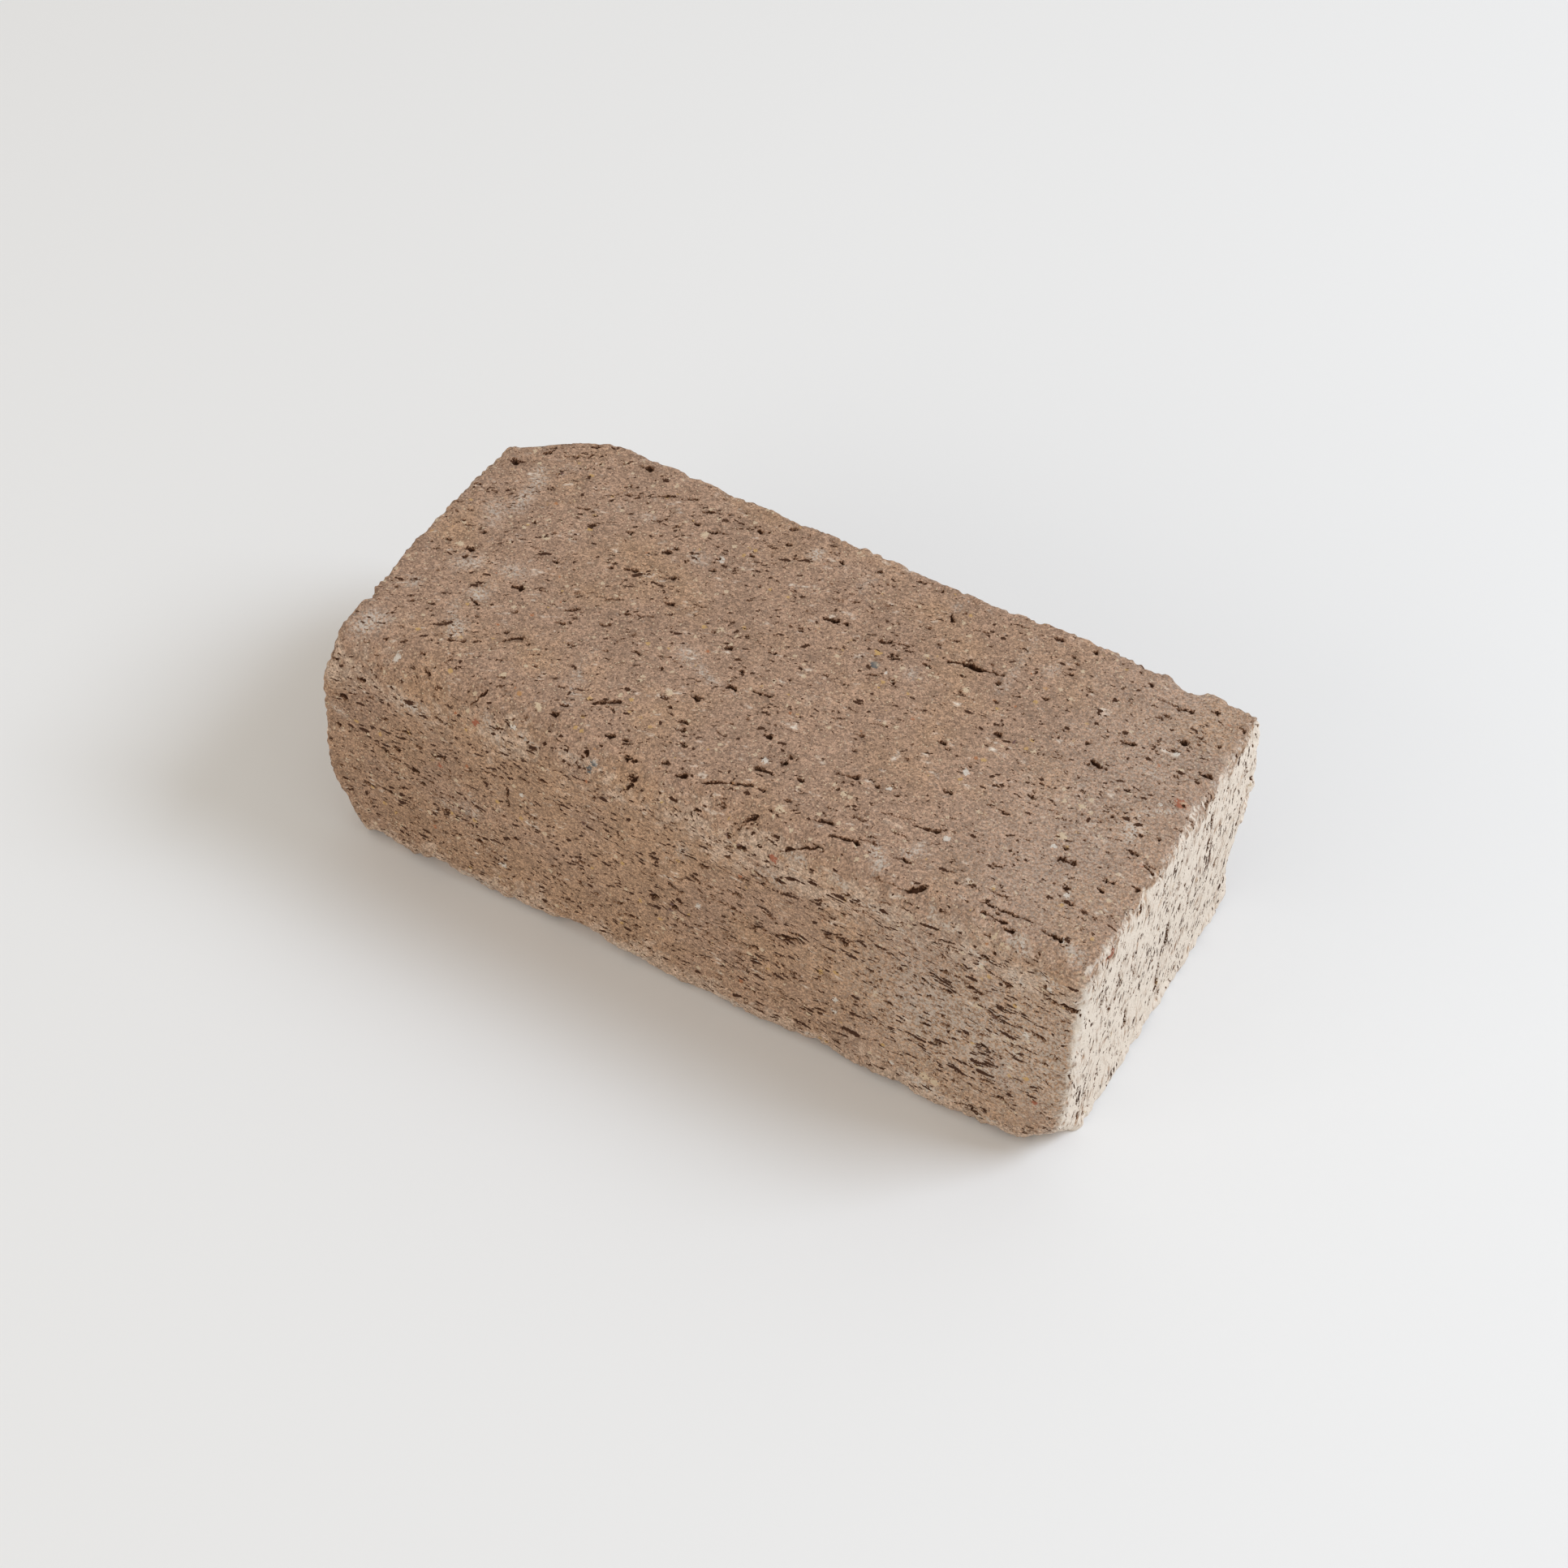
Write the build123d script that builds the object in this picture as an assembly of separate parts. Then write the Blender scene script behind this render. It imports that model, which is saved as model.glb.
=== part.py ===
"""Tumbled clay paver: one solid block of fired clay, laid on its bed face.

The clay column has a plain oblong section. The wire that cut it, and grit in the clay, tore pits into its
faces. Tumbling has worn each long arris round, more at one end than at the other, knocked corners off in
flat breaks, and flaked shallow scoops out of the edges.

Frame: X along the length, Y across the width from the front face to the back, Z up.
The origin is at the middle of the footprint, on the bed that the paver rests on. Millimetres.
"""

import math
import os

from build123d import *

# Overall size
length = 230.0
width = 110.0
height = 76.0

# Radius of each worn long arris, at the left end and at the right end
top_front_radius_left = 16.0
top_front_radius_right = 6.5
top_back_radius_left = 4.5
top_back_radius_right = 4.0
bottom_front_radius_left = 7.0
bottom_front_radius_right = 5.5
bottom_back_radius_left = 7.0
bottom_back_radius_right = 6.0

# Radius of the arris that runs round each cut end
left_end_radius = 2.6
right_end_radius = 2.2

# Corners knocked off: how far each flat break runs along X, Y and Z from the sharp corner
back_left_top_break_x = 31.0
back_left_top_break_y = 20.0
back_left_top_break_z = 34.0
front_left_top_break_x = 5.0
front_left_top_break_y = 42.0
front_left_top_break_z = 20.0
front_left_bottom_break_x = 11.0
front_left_bottom_break_y = 22.0
front_left_bottom_break_z = 22.0
front_right_bottom_break_x = 15.0
front_right_bottom_break_y = 15.0
front_right_bottom_break_z = 15.0

# Scoops flaked out of an edge: the chord along the edge and the depth below it
left_foot_scoop_chord = 17.0
left_foot_scoop_depth = 5.2
middle_foot_scoop_chord = 30.0
middle_foot_scoop_depth = 4.6
back_rim_scoop_chord = 17.0
back_rim_scoop_depth = 4.0
back_rim_flake_chord = 24.0
back_rim_flake_depth = 2.4
end_rim_scoop_chord = 26.0
end_rim_scoop_depth = 2.2
rear_corner_scoop_chord = 30.0
rear_corner_scoop_depth = 4.6

# Place of each scoop, as a share of the edge's own length, from its left, front or bottom end
left_foot_scoop_share = 0.155
middle_foot_scoop_share = 0.36
back_rim_scoop_share = 0.905
back_rim_flake_share = 0.36
end_rim_scoop_share = 0.62
rear_corner_scoop_share = 0.3

# Tears that the cutting wire and the grit in the clay pulled open: the longest, the widest and their depth
longest_tear = 16.0
widest_tear = 2.8
tear_depth = 1.4

# Where a tear is widest, from its tail, and how much of that width its floor has
tear_belly_share = 0.65
tear_floor_share = 0.45

# Way of the tears in degrees: fanned across the top from left to right, along the sides and up the ends
top_heading_left = 30.0
top_heading_right = -2.0
side_heading = 0.0
end_heading = 90.0

# Each main tear: its place along and across its face, then its length and width against the largest
top_tear_shares = (
    (0.09, 0.88, 0.88, 0.32), (0.19, 0.85, 1.00, 0.32), (0.17, 0.94, 0.21, 0.90), (0.28, 0.89, 0.35, 0.40),
    (0.25, 0.60, 0.29, 0.60), (0.29, 0.62, 0.31, 0.60), (0.68, 0.75, 0.97, 0.68), (0.62, 0.88, 0.24, 0.46),
    (0.87, 0.61, 0.31, 0.46), (0.93, 0.79, 0.29, 0.92), (0.93, 0.75, 0.24, 0.78), (0.92, 0.90, 0.56, 0.58),
    (0.98, 0.72, 0.24, 0.78), (0.23, 0.39, 0.28, 0.54), (0.15, 0.39, 0.25, 1.00), (0.20, 0.23, 0.29, 0.54),
    (0.35, 0.16, 0.44, 0.40), (0.53, 0.09, 0.85, 0.50), (0.56, 0.17, 0.41, 0.72), (0.63, 0.45, 0.38, 0.86),
    (0.64, 0.26, 0.40, 0.58), (0.43, 0.30, 0.21, 0.92), (0.75, 0.21, 0.48, 0.72), (0.81, 0.36, 0.31, 0.50),
    (0.91, 0.30, 0.34, 0.60), (0.68, 0.08, 0.44, 0.60), (0.75, 0.10, 0.35, 0.68), (0.94, 0.08, 0.38, 0.78),
    (0.50, 0.71, 0.30, 0.86), (0.46, 0.37, 0.24, 0.72), (0.96, 0.41, 0.28, 0.78), (0.58, 0.72, 0.31, 0.64),
    (0.07, 0.43, 0.28, 0.78), (0.09, 0.77, 0.25, 0.64), (0.27, 0.70, 0.23, 0.72), (0.39, 0.89, 0.21, 0.72),
    (0.42, 0.48, 0.20, 0.78), (0.53, 0.53, 0.25, 0.64), (0.88, 0.72, 0.25, 0.64),
)
side_tear_shares = (
    (0.57, 0.62, 0.45, 0.42), (0.64, 0.53, 0.49, 0.60), (0.58, 0.38, 0.40, 0.42), (0.70, 0.64, 0.44, 0.64),
    (0.88, 0.70, 0.29, 0.64), (0.08, 0.54, 0.35, 0.64), (0.12, 0.50, 0.28, 0.58), (0.31, 0.75, 0.25, 0.78),
    (0.23, 0.22, 0.35, 0.42), (0.46, 0.42, 0.19, 0.86), (0.49, 0.42, 0.20, 0.72), (0.91, 0.81, 0.38, 0.42),
    (0.75, 0.30, 0.26, 0.50), (0.72, 0.31, 0.31, 0.46), (0.17, 0.63, 0.23, 0.72), (0.86, 0.72, 0.40, 0.42),
    (0.92, 0.21, 0.26, 0.50), (0.63, 0.23, 0.23, 0.50), (0.43, 0.26, 0.31, 0.40), (0.82, 0.63, 0.28, 0.42),
    (0.90, 0.62, 0.23, 0.64), (0.84, 0.46, 0.23, 0.42), (0.41, 0.65, 0.21, 0.42), (0.36, 0.43, 0.15, 0.58),
    (0.96, 0.62, 0.29, 0.40), (0.18, 0.26, 0.20, 0.58), (0.05, 0.31, 0.19, 0.64),
)
end_tear_shares = (
    (0.54, 0.46, 0.69, 0.72), (0.52, 0.26, 0.94, 0.58), (0.33, 0.32, 0.56, 0.64), (0.13, 0.74, 0.69, 0.54),
    (0.72, 0.67, 0.31, 0.60), (0.72, 0.79, 0.44, 0.54), (0.81, 0.46, 0.28, 1.00), (0.25, 0.57, 0.38, 0.64),
    (0.10, 0.12, 0.25, 0.72), (0.59, 0.52, 0.23, 0.64), (0.40, 0.38, 0.23, 0.72), (0.45, 0.82, 0.35, 0.40),
    (0.18, 0.21, 0.24, 0.58), (0.89, 0.44, 0.21, 0.64), (0.65, 0.32, 0.23, 0.58), (0.30, 0.90, 0.25, 0.72),
    (0.92, 0.79, 0.25, 0.50),
)

# How far each cutter runs past the face that it cuts
overrun = 5.0

left, right = -length / 2, length / 2
front, back = -width / 2, width / 2
bottom, top = 0.0, height


def wear_section(x, y, z, radius):
    """What is worn off one long edge at one end: the sharp corner at (y, z) outside a quarter round."""
    out_y, out_z = math.copysign(overrun, y), overrun if z == top else -overrun
    in_y, in_z = -math.copysign(radius, y), -radius if z == top else radius
    waist_share = 1 - math.sqrt(0.5)
    plane = Plane(origin=(x, 0, 0), x_dir=(0, 1, 0), z_dir=(1, 0, 0))
    with BuildSketch(plane) as section:
        with BuildLine():
            Polyline(
                (y + in_y, z),
                (y + in_y, z + out_z),
                (y + out_y, z + out_z),
                (y + out_y, z + in_z),
                (y, z + in_z),
            )
            ThreePointArc((y, z + in_z), (y + in_y * waist_share, z + in_z * waist_share), (y + in_y, z))
        make_face()
    return section.sketch


def arris_wear(y, z, radius_left, radius_right):
    """The wear along one long edge, tapering from its radius at the left end to that at the right end."""
    sections = [wear_section(left, y, z, radius_left), wear_section(right, y, z, radius_right)]
    return loft(sections, ruled=True)


def worn_block():
    """The oblong block with its four long edges worn round and the arris at each end rounded."""
    block = Pos(0, 0, height / 2) * Box(length, width, height)
    block -= arris_wear(front, top, top_front_radius_left, top_front_radius_right)
    block -= arris_wear(back, top, top_back_radius_left, top_back_radius_right)
    block -= arris_wear(front, bottom, bottom_front_radius_left, bottom_front_radius_right)
    block -= arris_wear(back, bottom, bottom_back_radius_left, bottom_back_radius_right)
    for outward, radius in ((Axis.X, right_end_radius), (-Axis.X, left_end_radius)):
        end_face = block.faces().sort_by(outward)[-1]
        block = fillet(end_face.edges(), radius)
    return block


def corner_break(corner, reach_x, reach_y, reach_z):
    """A wedge that takes one corner off along the plane through a point on each of its three edges."""
    x, y, z = corner
    on_x = Vector(x - math.copysign(reach_x, x), y, z)
    on_y = Vector(x, y - math.copysign(reach_y, y), z)
    inward_z = reach_z if z == bottom else -reach_z
    on_z = Vector(x, y, z + inward_z)
    normal = (on_y - on_x).cross(on_z - on_x).normalized()
    if normal.dot(Vector(x, y, z) - on_x) < 0:
        normal = -normal
    depth = length + width + height
    face_plane = Plane(origin=on_x, z_dir=normal)
    return extrude(face_plane * Rectangle(depth, depth), amount=depth)


def edge_scoop(edge, outward, share, chord, depth):
    """A ball that flakes a scoop of the given chord and depth out of an edge, at a share of its length."""
    start, end = (Vector(*point) for point in edge)
    radius = (chord**2 / 4 + depth**2) / (2 * depth)
    on_edge = start + (end - start) * share
    centre = on_edge + Vector(*outward).normalized() * (radius - depth)
    return Pos(*centre) * Sphere(radius)


def corner_breaks():
    """The four corners that are broken off."""
    return [
        corner_break(
            (left, back, top),
            back_left_top_break_x,
            back_left_top_break_y,
            back_left_top_break_z,
        ),
        corner_break(
            (left, front, top),
            front_left_top_break_x,
            front_left_top_break_y,
            front_left_top_break_z,
        ),
        corner_break(
            (left, front, bottom),
            front_left_bottom_break_x,
            front_left_bottom_break_y,
            front_left_bottom_break_z,
        ),
        corner_break(
            (right, front, bottom),
            front_right_bottom_break_x,
            front_right_bottom_break_y,
            front_right_bottom_break_z,
        ),
    ]


def edge_scoops():
    """The scoops in the foot of the front face, the back rim, the right end's rim and the rear corner."""
    foot = ((left, front, bottom), (right, front, bottom)), (0, -1, -1)
    back_rim = ((left, back, top), (right, back, top)), (0, 1, 1)
    end_rim = ((right, front, top), (right, back, top)), (1, 0, 1)
    rear_corner = ((right, back, bottom), (right, back, top)), (1, 1, 0)
    return [
        edge_scoop(*foot, left_foot_scoop_share, left_foot_scoop_chord, left_foot_scoop_depth),
        edge_scoop(*foot, middle_foot_scoop_share, middle_foot_scoop_chord, middle_foot_scoop_depth),
        edge_scoop(*back_rim, back_rim_scoop_share, back_rim_scoop_chord, back_rim_scoop_depth),
        edge_scoop(*back_rim, back_rim_flake_share, back_rim_flake_chord, back_rim_flake_depth),
        edge_scoop(*end_rim, end_rim_scoop_share, end_rim_scoop_chord, end_rim_scoop_depth),
        edge_scoop(*rear_corner, rear_corner_scoop_share, rear_corner_scoop_chord, rear_corner_scoop_depth),
    ]


def tear(long_share, wide_share):
    """A four-sided pit with a flat floor, drawn out along X, whose mouth lies on the face that it opens."""
    long, wide = longest_tear * long_share, widest_tear * wide_share
    mouth = ((-long * tear_belly_share, 0), (0, -wide / 2), (long * (1 - tear_belly_share), 0), (0, wide / 2))
    floor = [(x * tear_floor_share, y * tear_floor_share, -tear_depth) for x, y in mouth]
    flare = [(x * (2 - tear_floor_share), y * (2 - tear_floor_share), tear_depth) for x, y in mouth]
    sides = [(floor[i - 1], floor[i], flare[i], flare[i - 1]) for i in range(len(mouth))]
    return Solid(Shell([Face(Wire.make_polygon(ring)) for ring in (floor, flare, *sides)]))


def tears(face_plane, run, rise, shares, first_heading, last_heading):
    """The tears of one face, each turned to the heading of its place along the face."""
    placed = []
    for along_share, across_share, long_share, wide_share in shares:
        heading = first_heading + (last_heading - first_heading) * along_share
        place = Pos(run * along_share, rise * across_share) * Rot(0, 0, heading)
        placed.append(face_plane.location * place * tear(long_share, wide_share))
    return placed


def face_tears():
    """The tears of all faces but the bed: back and left end have their opposites' tears, turned about."""
    top_plane = Plane(origin=(left, front, top), x_dir=(1, 0, 0), z_dir=(0, 0, 1))
    front_plane = Plane(origin=(left, front, bottom), x_dir=(1, 0, 0), z_dir=(0, -1, 0))
    back_plane = Plane(origin=(right, back, bottom), x_dir=(-1, 0, 0), z_dir=(0, 1, 0))
    right_plane = Plane(origin=(right, front, bottom), x_dir=(0, 1, 0), z_dir=(1, 0, 0))
    left_plane = Plane(origin=(left, back, bottom), x_dir=(0, -1, 0), z_dir=(-1, 0, 0))
    placed = tears(top_plane, length, width, top_tear_shares, top_heading_left, top_heading_right)
    for side_plane in (front_plane, back_plane):
        placed += tears(side_plane, length, height, side_tear_shares, side_heading, side_heading)
    for end_plane in (right_plane, left_plane):
        placed += tears(end_plane, width, height, end_tear_shares, end_heading, end_heading)
    return placed


paver = worn_block()
for loss in corner_breaks() + edge_scoops():
    paver = paver - loss
paver = paver - face_tears()

os.makedirs("parts", exist_ok=True)
export_step(paver, "parts/paver.step")
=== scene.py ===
import itertools
import math

import bpy
import numpy as np
from mathutils import Matrix, Vector


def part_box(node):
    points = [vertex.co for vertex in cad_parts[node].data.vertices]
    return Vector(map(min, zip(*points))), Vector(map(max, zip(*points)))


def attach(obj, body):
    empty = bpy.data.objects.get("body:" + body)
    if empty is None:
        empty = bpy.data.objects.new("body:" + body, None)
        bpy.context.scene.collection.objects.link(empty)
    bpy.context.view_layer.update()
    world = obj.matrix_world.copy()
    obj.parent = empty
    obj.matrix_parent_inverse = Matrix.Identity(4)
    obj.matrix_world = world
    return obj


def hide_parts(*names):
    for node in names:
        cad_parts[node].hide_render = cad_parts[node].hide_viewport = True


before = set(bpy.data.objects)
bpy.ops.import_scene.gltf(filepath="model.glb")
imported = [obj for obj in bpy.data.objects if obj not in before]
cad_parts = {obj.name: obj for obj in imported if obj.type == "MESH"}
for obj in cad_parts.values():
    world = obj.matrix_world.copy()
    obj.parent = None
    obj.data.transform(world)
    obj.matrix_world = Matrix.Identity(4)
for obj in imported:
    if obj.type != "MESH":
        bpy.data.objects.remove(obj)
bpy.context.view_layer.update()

# The paver
# One block of clay, pushed out as a column, cut by wire, fired, and then tumbled until its edges wore round.
# The wire dragged grit and lumps through the wet clay, which left the pores and tears that cover its faces.

mm = 0.001
low_corner, high_corner = (np.array(corner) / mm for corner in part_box("paver"))
length, width, height = high_corner - low_corner
right, front, top = high_corner[0], low_corner[1], high_corner[2]

# The skin starts as large quads on the solid. Its creases are eased, then it is divided twice and thinned
coarse_step = 1.2
crease_easing_rounds = 3
skin_divisions = 2
triangle_budget = 190_000


def settle(thing):
    """Makes what the modifiers do to a thing part of its mesh."""
    depsgraph = bpy.context.evaluated_depsgraph_get()
    shaped = bpy.data.meshes.new_from_object(thing.evaluated_get(depsgraph))
    thing.modifiers.clear()
    thing.data = shaped


paver = bpy.data.objects.new("clay_paver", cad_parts["paver"].data.copy())
bpy.context.scene.collection.objects.link(paver)
even_skin = paver.modifiers.new("even skin", "REMESH")
even_skin.mode = "VOXEL"
even_skin.voxel_size = coarse_step * mm
eased_creases = paver.modifiers.new("eased creases", "SMOOTH")
eased_creases.iterations = crease_easing_rounds
fine_skin = paver.modifiers.new("fine skin", "SUBSURF")
fine_skin.levels = skin_divisions
fine_skin.render_levels = skin_divisions
settle(paver)

point_count = len(paver.data.vertices)
points = np.empty(point_count * 3, np.float32)
normals = np.empty(point_count * 3, np.float32)
paver.data.vertices.foreach_get("co", points)
paver.data.vertex_normals.foreach_get("vector", normals)
points = points.reshape(-1, 3) / mm
normals = normals.reshape(-1, 3)


def clay_noise(wavelength, seed):
    """Smooth noise from -1 to 1 over the skin."""
    table = np.random.default_rng(seed).uniform(-1, 1, 65536).astype(np.float32)
    cells = points / wavelength
    low = np.floor(cells).astype(np.int64)
    share = (cells - low).astype(np.float32)
    share = share * share * (3 - 2 * share)
    total = np.zeros(point_count, np.float32)
    for corner in itertools.product((0, 1), repeat=3):
        spread = (low + corner) * (73856093, 19349663, 83492791)
        key = (spread[:, 0] ^ spread[:, 1] ^ spread[:, 2]) & 65535
        weight = np.where(corner, share, 1 - share).prod(axis=1)
        total += weight * table[key]
    return total


# Nearness to an arris: 1 on the edge between two faces and falling away over the reach of the wear
arris_reach = 7.0
from_faces = np.stack(
    (
        length / 2 - np.abs(points[:, 0]),
        width / 2 - np.abs(points[:, 1]),
        np.minimum(points[:, 2], height - points[:, 2]),
    )
)
from_faces.sort(axis=0)
arris = np.exp(-((from_faces[1] / arris_reach) ** 2))

# Gentle swells of the faces, and arrises that are wavy, chipped and rough, all in millimetres of height
swell = 0.30 * clay_noise(48, 1) + 0.14 * clay_noise(17, 2)
chips = np.clip(clay_noise(7, 3) + 0.7 * clay_noise(3.2, 4) - 0.2, 0, 1)
roughness = 0.50 * clay_noise(2.4, 5) + 0.40 * clay_noise(1.2, 6)
rise = swell + arris * (0.2 + 0.6 * clay_noise(14, 7) - 1.7 * chips + roughness) + 0.03 * clay_noise(1.6, 8)

# Where the block is a little fuller or leaner than its solid: place, reach and height
fuller_places = (
    (-115, -53, 40, 18, 1.6), (-115, -23, 73, 10, -1.2), (-114, -48, 74, 9, 1.5), (-115, 4, 74, 10, 0.2),
    (-101, 52, 69, 11, 1.7), (-104, 50, 76, 9, 0.8), (-88, 52, 73, 9, 0.8), (-50, 54, 75, 6, -1.0),
    (22, 54, 74, 22, -0.9), (94, 54, 75, 8, -0.7), (113, 52, 75, 10, -2.0), (115, 54, 46, 10, 0.5),
    (115, 44, 8, 12, -0.5), (115, 22, 40, 12, 0.8), (115, -25, 3, 14, 1.1), (108, -54, 3, 8, 0.1),
    (74, -54, 3, 10, 0.9), (92, -54, 2, 8, 0.6), (22, -54, 2, 14, 0.6), (-85, -53, 4, 22, 1.1),
)
for *place, reach, lift in fuller_places:
    rise += lift * np.exp(-(np.linalg.norm(points - np.array(place), axis=1) / reach) ** 2)

# What the tears, stones and dust leave on the skin
edge_margin = 0.6
sunk = np.zeros(point_count, np.float32)
inside_pore = np.full(point_count, -edge_margin, np.float32)
stone_share = np.zeros(point_count, np.float32)
stone_colour = np.zeros((point_count, 4), np.float32)
dust = np.zeros(point_count, np.float32)

# Fraying shifts each point before it is tested against a tear's line, so that no outline comes out smooth
fray = np.stack(
    [0.42 * clay_noise(1.7, seed) + 0.44 * clay_noise(0.8, seed + 1) for seed in (10, 12)],
    axis=1,
)
uneven = 1 + 0.65 * clay_noise(1.9, 14)


class Face:
    """One side of the block: the skin points that face that way, sorted into square cells."""

    cell = 4.0
    facing_share = 0.5
    fray_reach = 0.9
    wall = 0.34
    shallowest = 0.3
    deepest = 2.4
    depth_share = 1.4
    tail_share = 0.5
    stone_reach_share = 2.0
    dust_reach_share = 2.5

    def __init__(self, outward_axis, side, along, across):
        members = np.flatnonzero(normals[:, outward_axis] * side > self.facing_share)
        places = points[members][:, (along, across)]
        self.low = places.min(axis=0)
        self.cells_across = int((places[:, 1].max() - self.low[1]) // self.cell) + 1
        keys = self.cell_key(places[:, 0], places[:, 1])
        order = np.argsort(keys, kind="stable")
        self.members, self.keys = members[order], keys[order]
        self.frayed = places[order] + fray[self.members]

    def cell_key(self, u, v):
        row = np.floor((u - self.low[0]) / self.cell).astype(np.int64)
        column = np.clip(np.floor((v - self.low[1]) / self.cell), 0, self.cells_across - 1).astype(np.int64)
        return row * self.cells_across + column

    def near(self, start, end, reach):
        """The points within reach of a line: their share along it, distance from it and numbers."""
        start, end = np.array(start, float), np.array(end, float)
        low, high = np.minimum(start, end) - reach, np.maximum(start, end) + reach
        rows = np.floor((np.array((low[0], high[0])) - self.low[0]) / self.cell).astype(int)
        found = []
        for row in range(rows[0], rows[1] + 1):
            u = self.low[0] + (row + 0.5) * self.cell
            keys = self.cell_key(np.array((u, u)), np.array((low[1], high[1])))
            first = np.searchsorted(self.keys, keys[0], "left")
            last = np.searchsorted(self.keys, keys[1], "right")
            found.append(np.arange(first, last))
        found = np.concatenate(found)
        run = end - start
        offset = self.frayed[found] - start
        share = np.clip(offset @ run / max(run @ run, 1e-6), 0, 1)
        away = np.linalg.norm(offset - share[:, None] * run, axis=1)
        return share, away, self.members[found]

    def tear(self, start, end, tail, head):
        """Sinks a groove with torn sides along a line, from a half width at its tail to one at its head."""
        share, away, members = self.near(start, end, 1.5 * max(tail, head) + self.fray_reach + edge_margin)
        half_width = (tail + (head - tail) * share**2) * uneven[members]
        inside = half_width - away
        np.maximum.at(inside_pore, members, inside)
        fall = np.clip(inside / self.wall, 0, 1)
        depth = np.minimum(self.shallowest + self.depth_share * half_width, self.deepest)
        np.maximum.at(sunk, members, depth * fall * fall * (3 - 2 * fall))

    def pit(self, place, half_length, half_width, heading):
        """Sinks a pore that is drawn out along a heading in degrees."""
        angle = math.radians(heading)
        reach = half_length * np.array((math.cos(angle), math.sin(angle)))
        self.tear(place - reach, place + reach, self.tail_share * half_width, half_width)

    def stone(self, place, radius, colour):
        """Sets a stone or a coarse grain of another colour into the skin."""
        reach = self.stone_reach_share * radius
        _, away, members = self.near(place, place, reach + self.fray_reach)
        stone_colour[members[away < reach]] = colour
        np.maximum.at(stone_share, members, np.clip(1.5 - away / radius, 0, 1))

    def dusting(self, start, end, reach, share):
        """Leaves pale dust along a line."""
        _, away, members = self.near(start, end, self.dust_reach_share * reach)
        np.maximum.at(dust, members, share * np.exp(-((away / reach) ** 2)))


top_face = Face(2, 1, 0, 1)
bed_face = Face(2, -1, 0, 1)
front_face = Face(1, -1, 0, 2)
back_face = Face(1, 1, 0, 2)
right_end = Face(0, 1, 1, 2)
left_end = Face(0, -1, 1, 2)


fan_middle, fan_along, fan_across = 14, -0.14, 0.1
sway_angle, sway_length, sway_rise = 9, 9, 5
end_sway_angle, end_sway_length = 5, 7


def fanned(x, y):
    """The cutting wire's way across the top and the bed, in degrees from +X."""
    return fan_middle + fan_along * x + fan_across * y


def lengthwise(x, z):
    """The way that the clay column moved, along the front and back faces."""
    return sway_angle * math.sin(x / sway_length + z / sway_rise)


def upright(y, z):
    """The way of the tears on the two cut ends."""
    return 90 + end_sway_angle * math.sin(y / end_sway_length)


cream = (0.60, 0.48, 0.34, 1)
chalk = (0.62, 0.57, 0.51, 1)
ochre = (0.52, 0.33, 0.13, 1)
brick_red = (0.34, 0.110, 0.060, 1)
plum = (0.12, 0.065, 0.062, 1)
slate = (0.085, 0.10, 0.11, 1)


def scatter(face, seed, count, low, high, half_lengths, half_widths, heading):
    """Sinks a number of pores at random within a rectangle of a face, some with a pale grain at the edge."""
    turn_spread, grain_chance, grain_spread, grain_radii = 12, 0.3, 0.8, (0.25, 0.5)
    draw = np.random.default_rng(seed)
    for _ in range(count):
        place = draw.uniform(low, high)
        half_length = half_lengths[0] * (half_lengths[1] / half_lengths[0]) ** draw.random()
        half_width = half_widths[0] * (half_widths[1] / half_widths[0]) ** draw.random()
        face.pit(place, half_length, half_width, heading(*place) + draw.normal(0, turn_spread))
        if draw.random() < grain_chance:
            face.stone(place + draw.normal(0, grain_spread, 2), draw.uniform(*grain_radii), cream)


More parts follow.
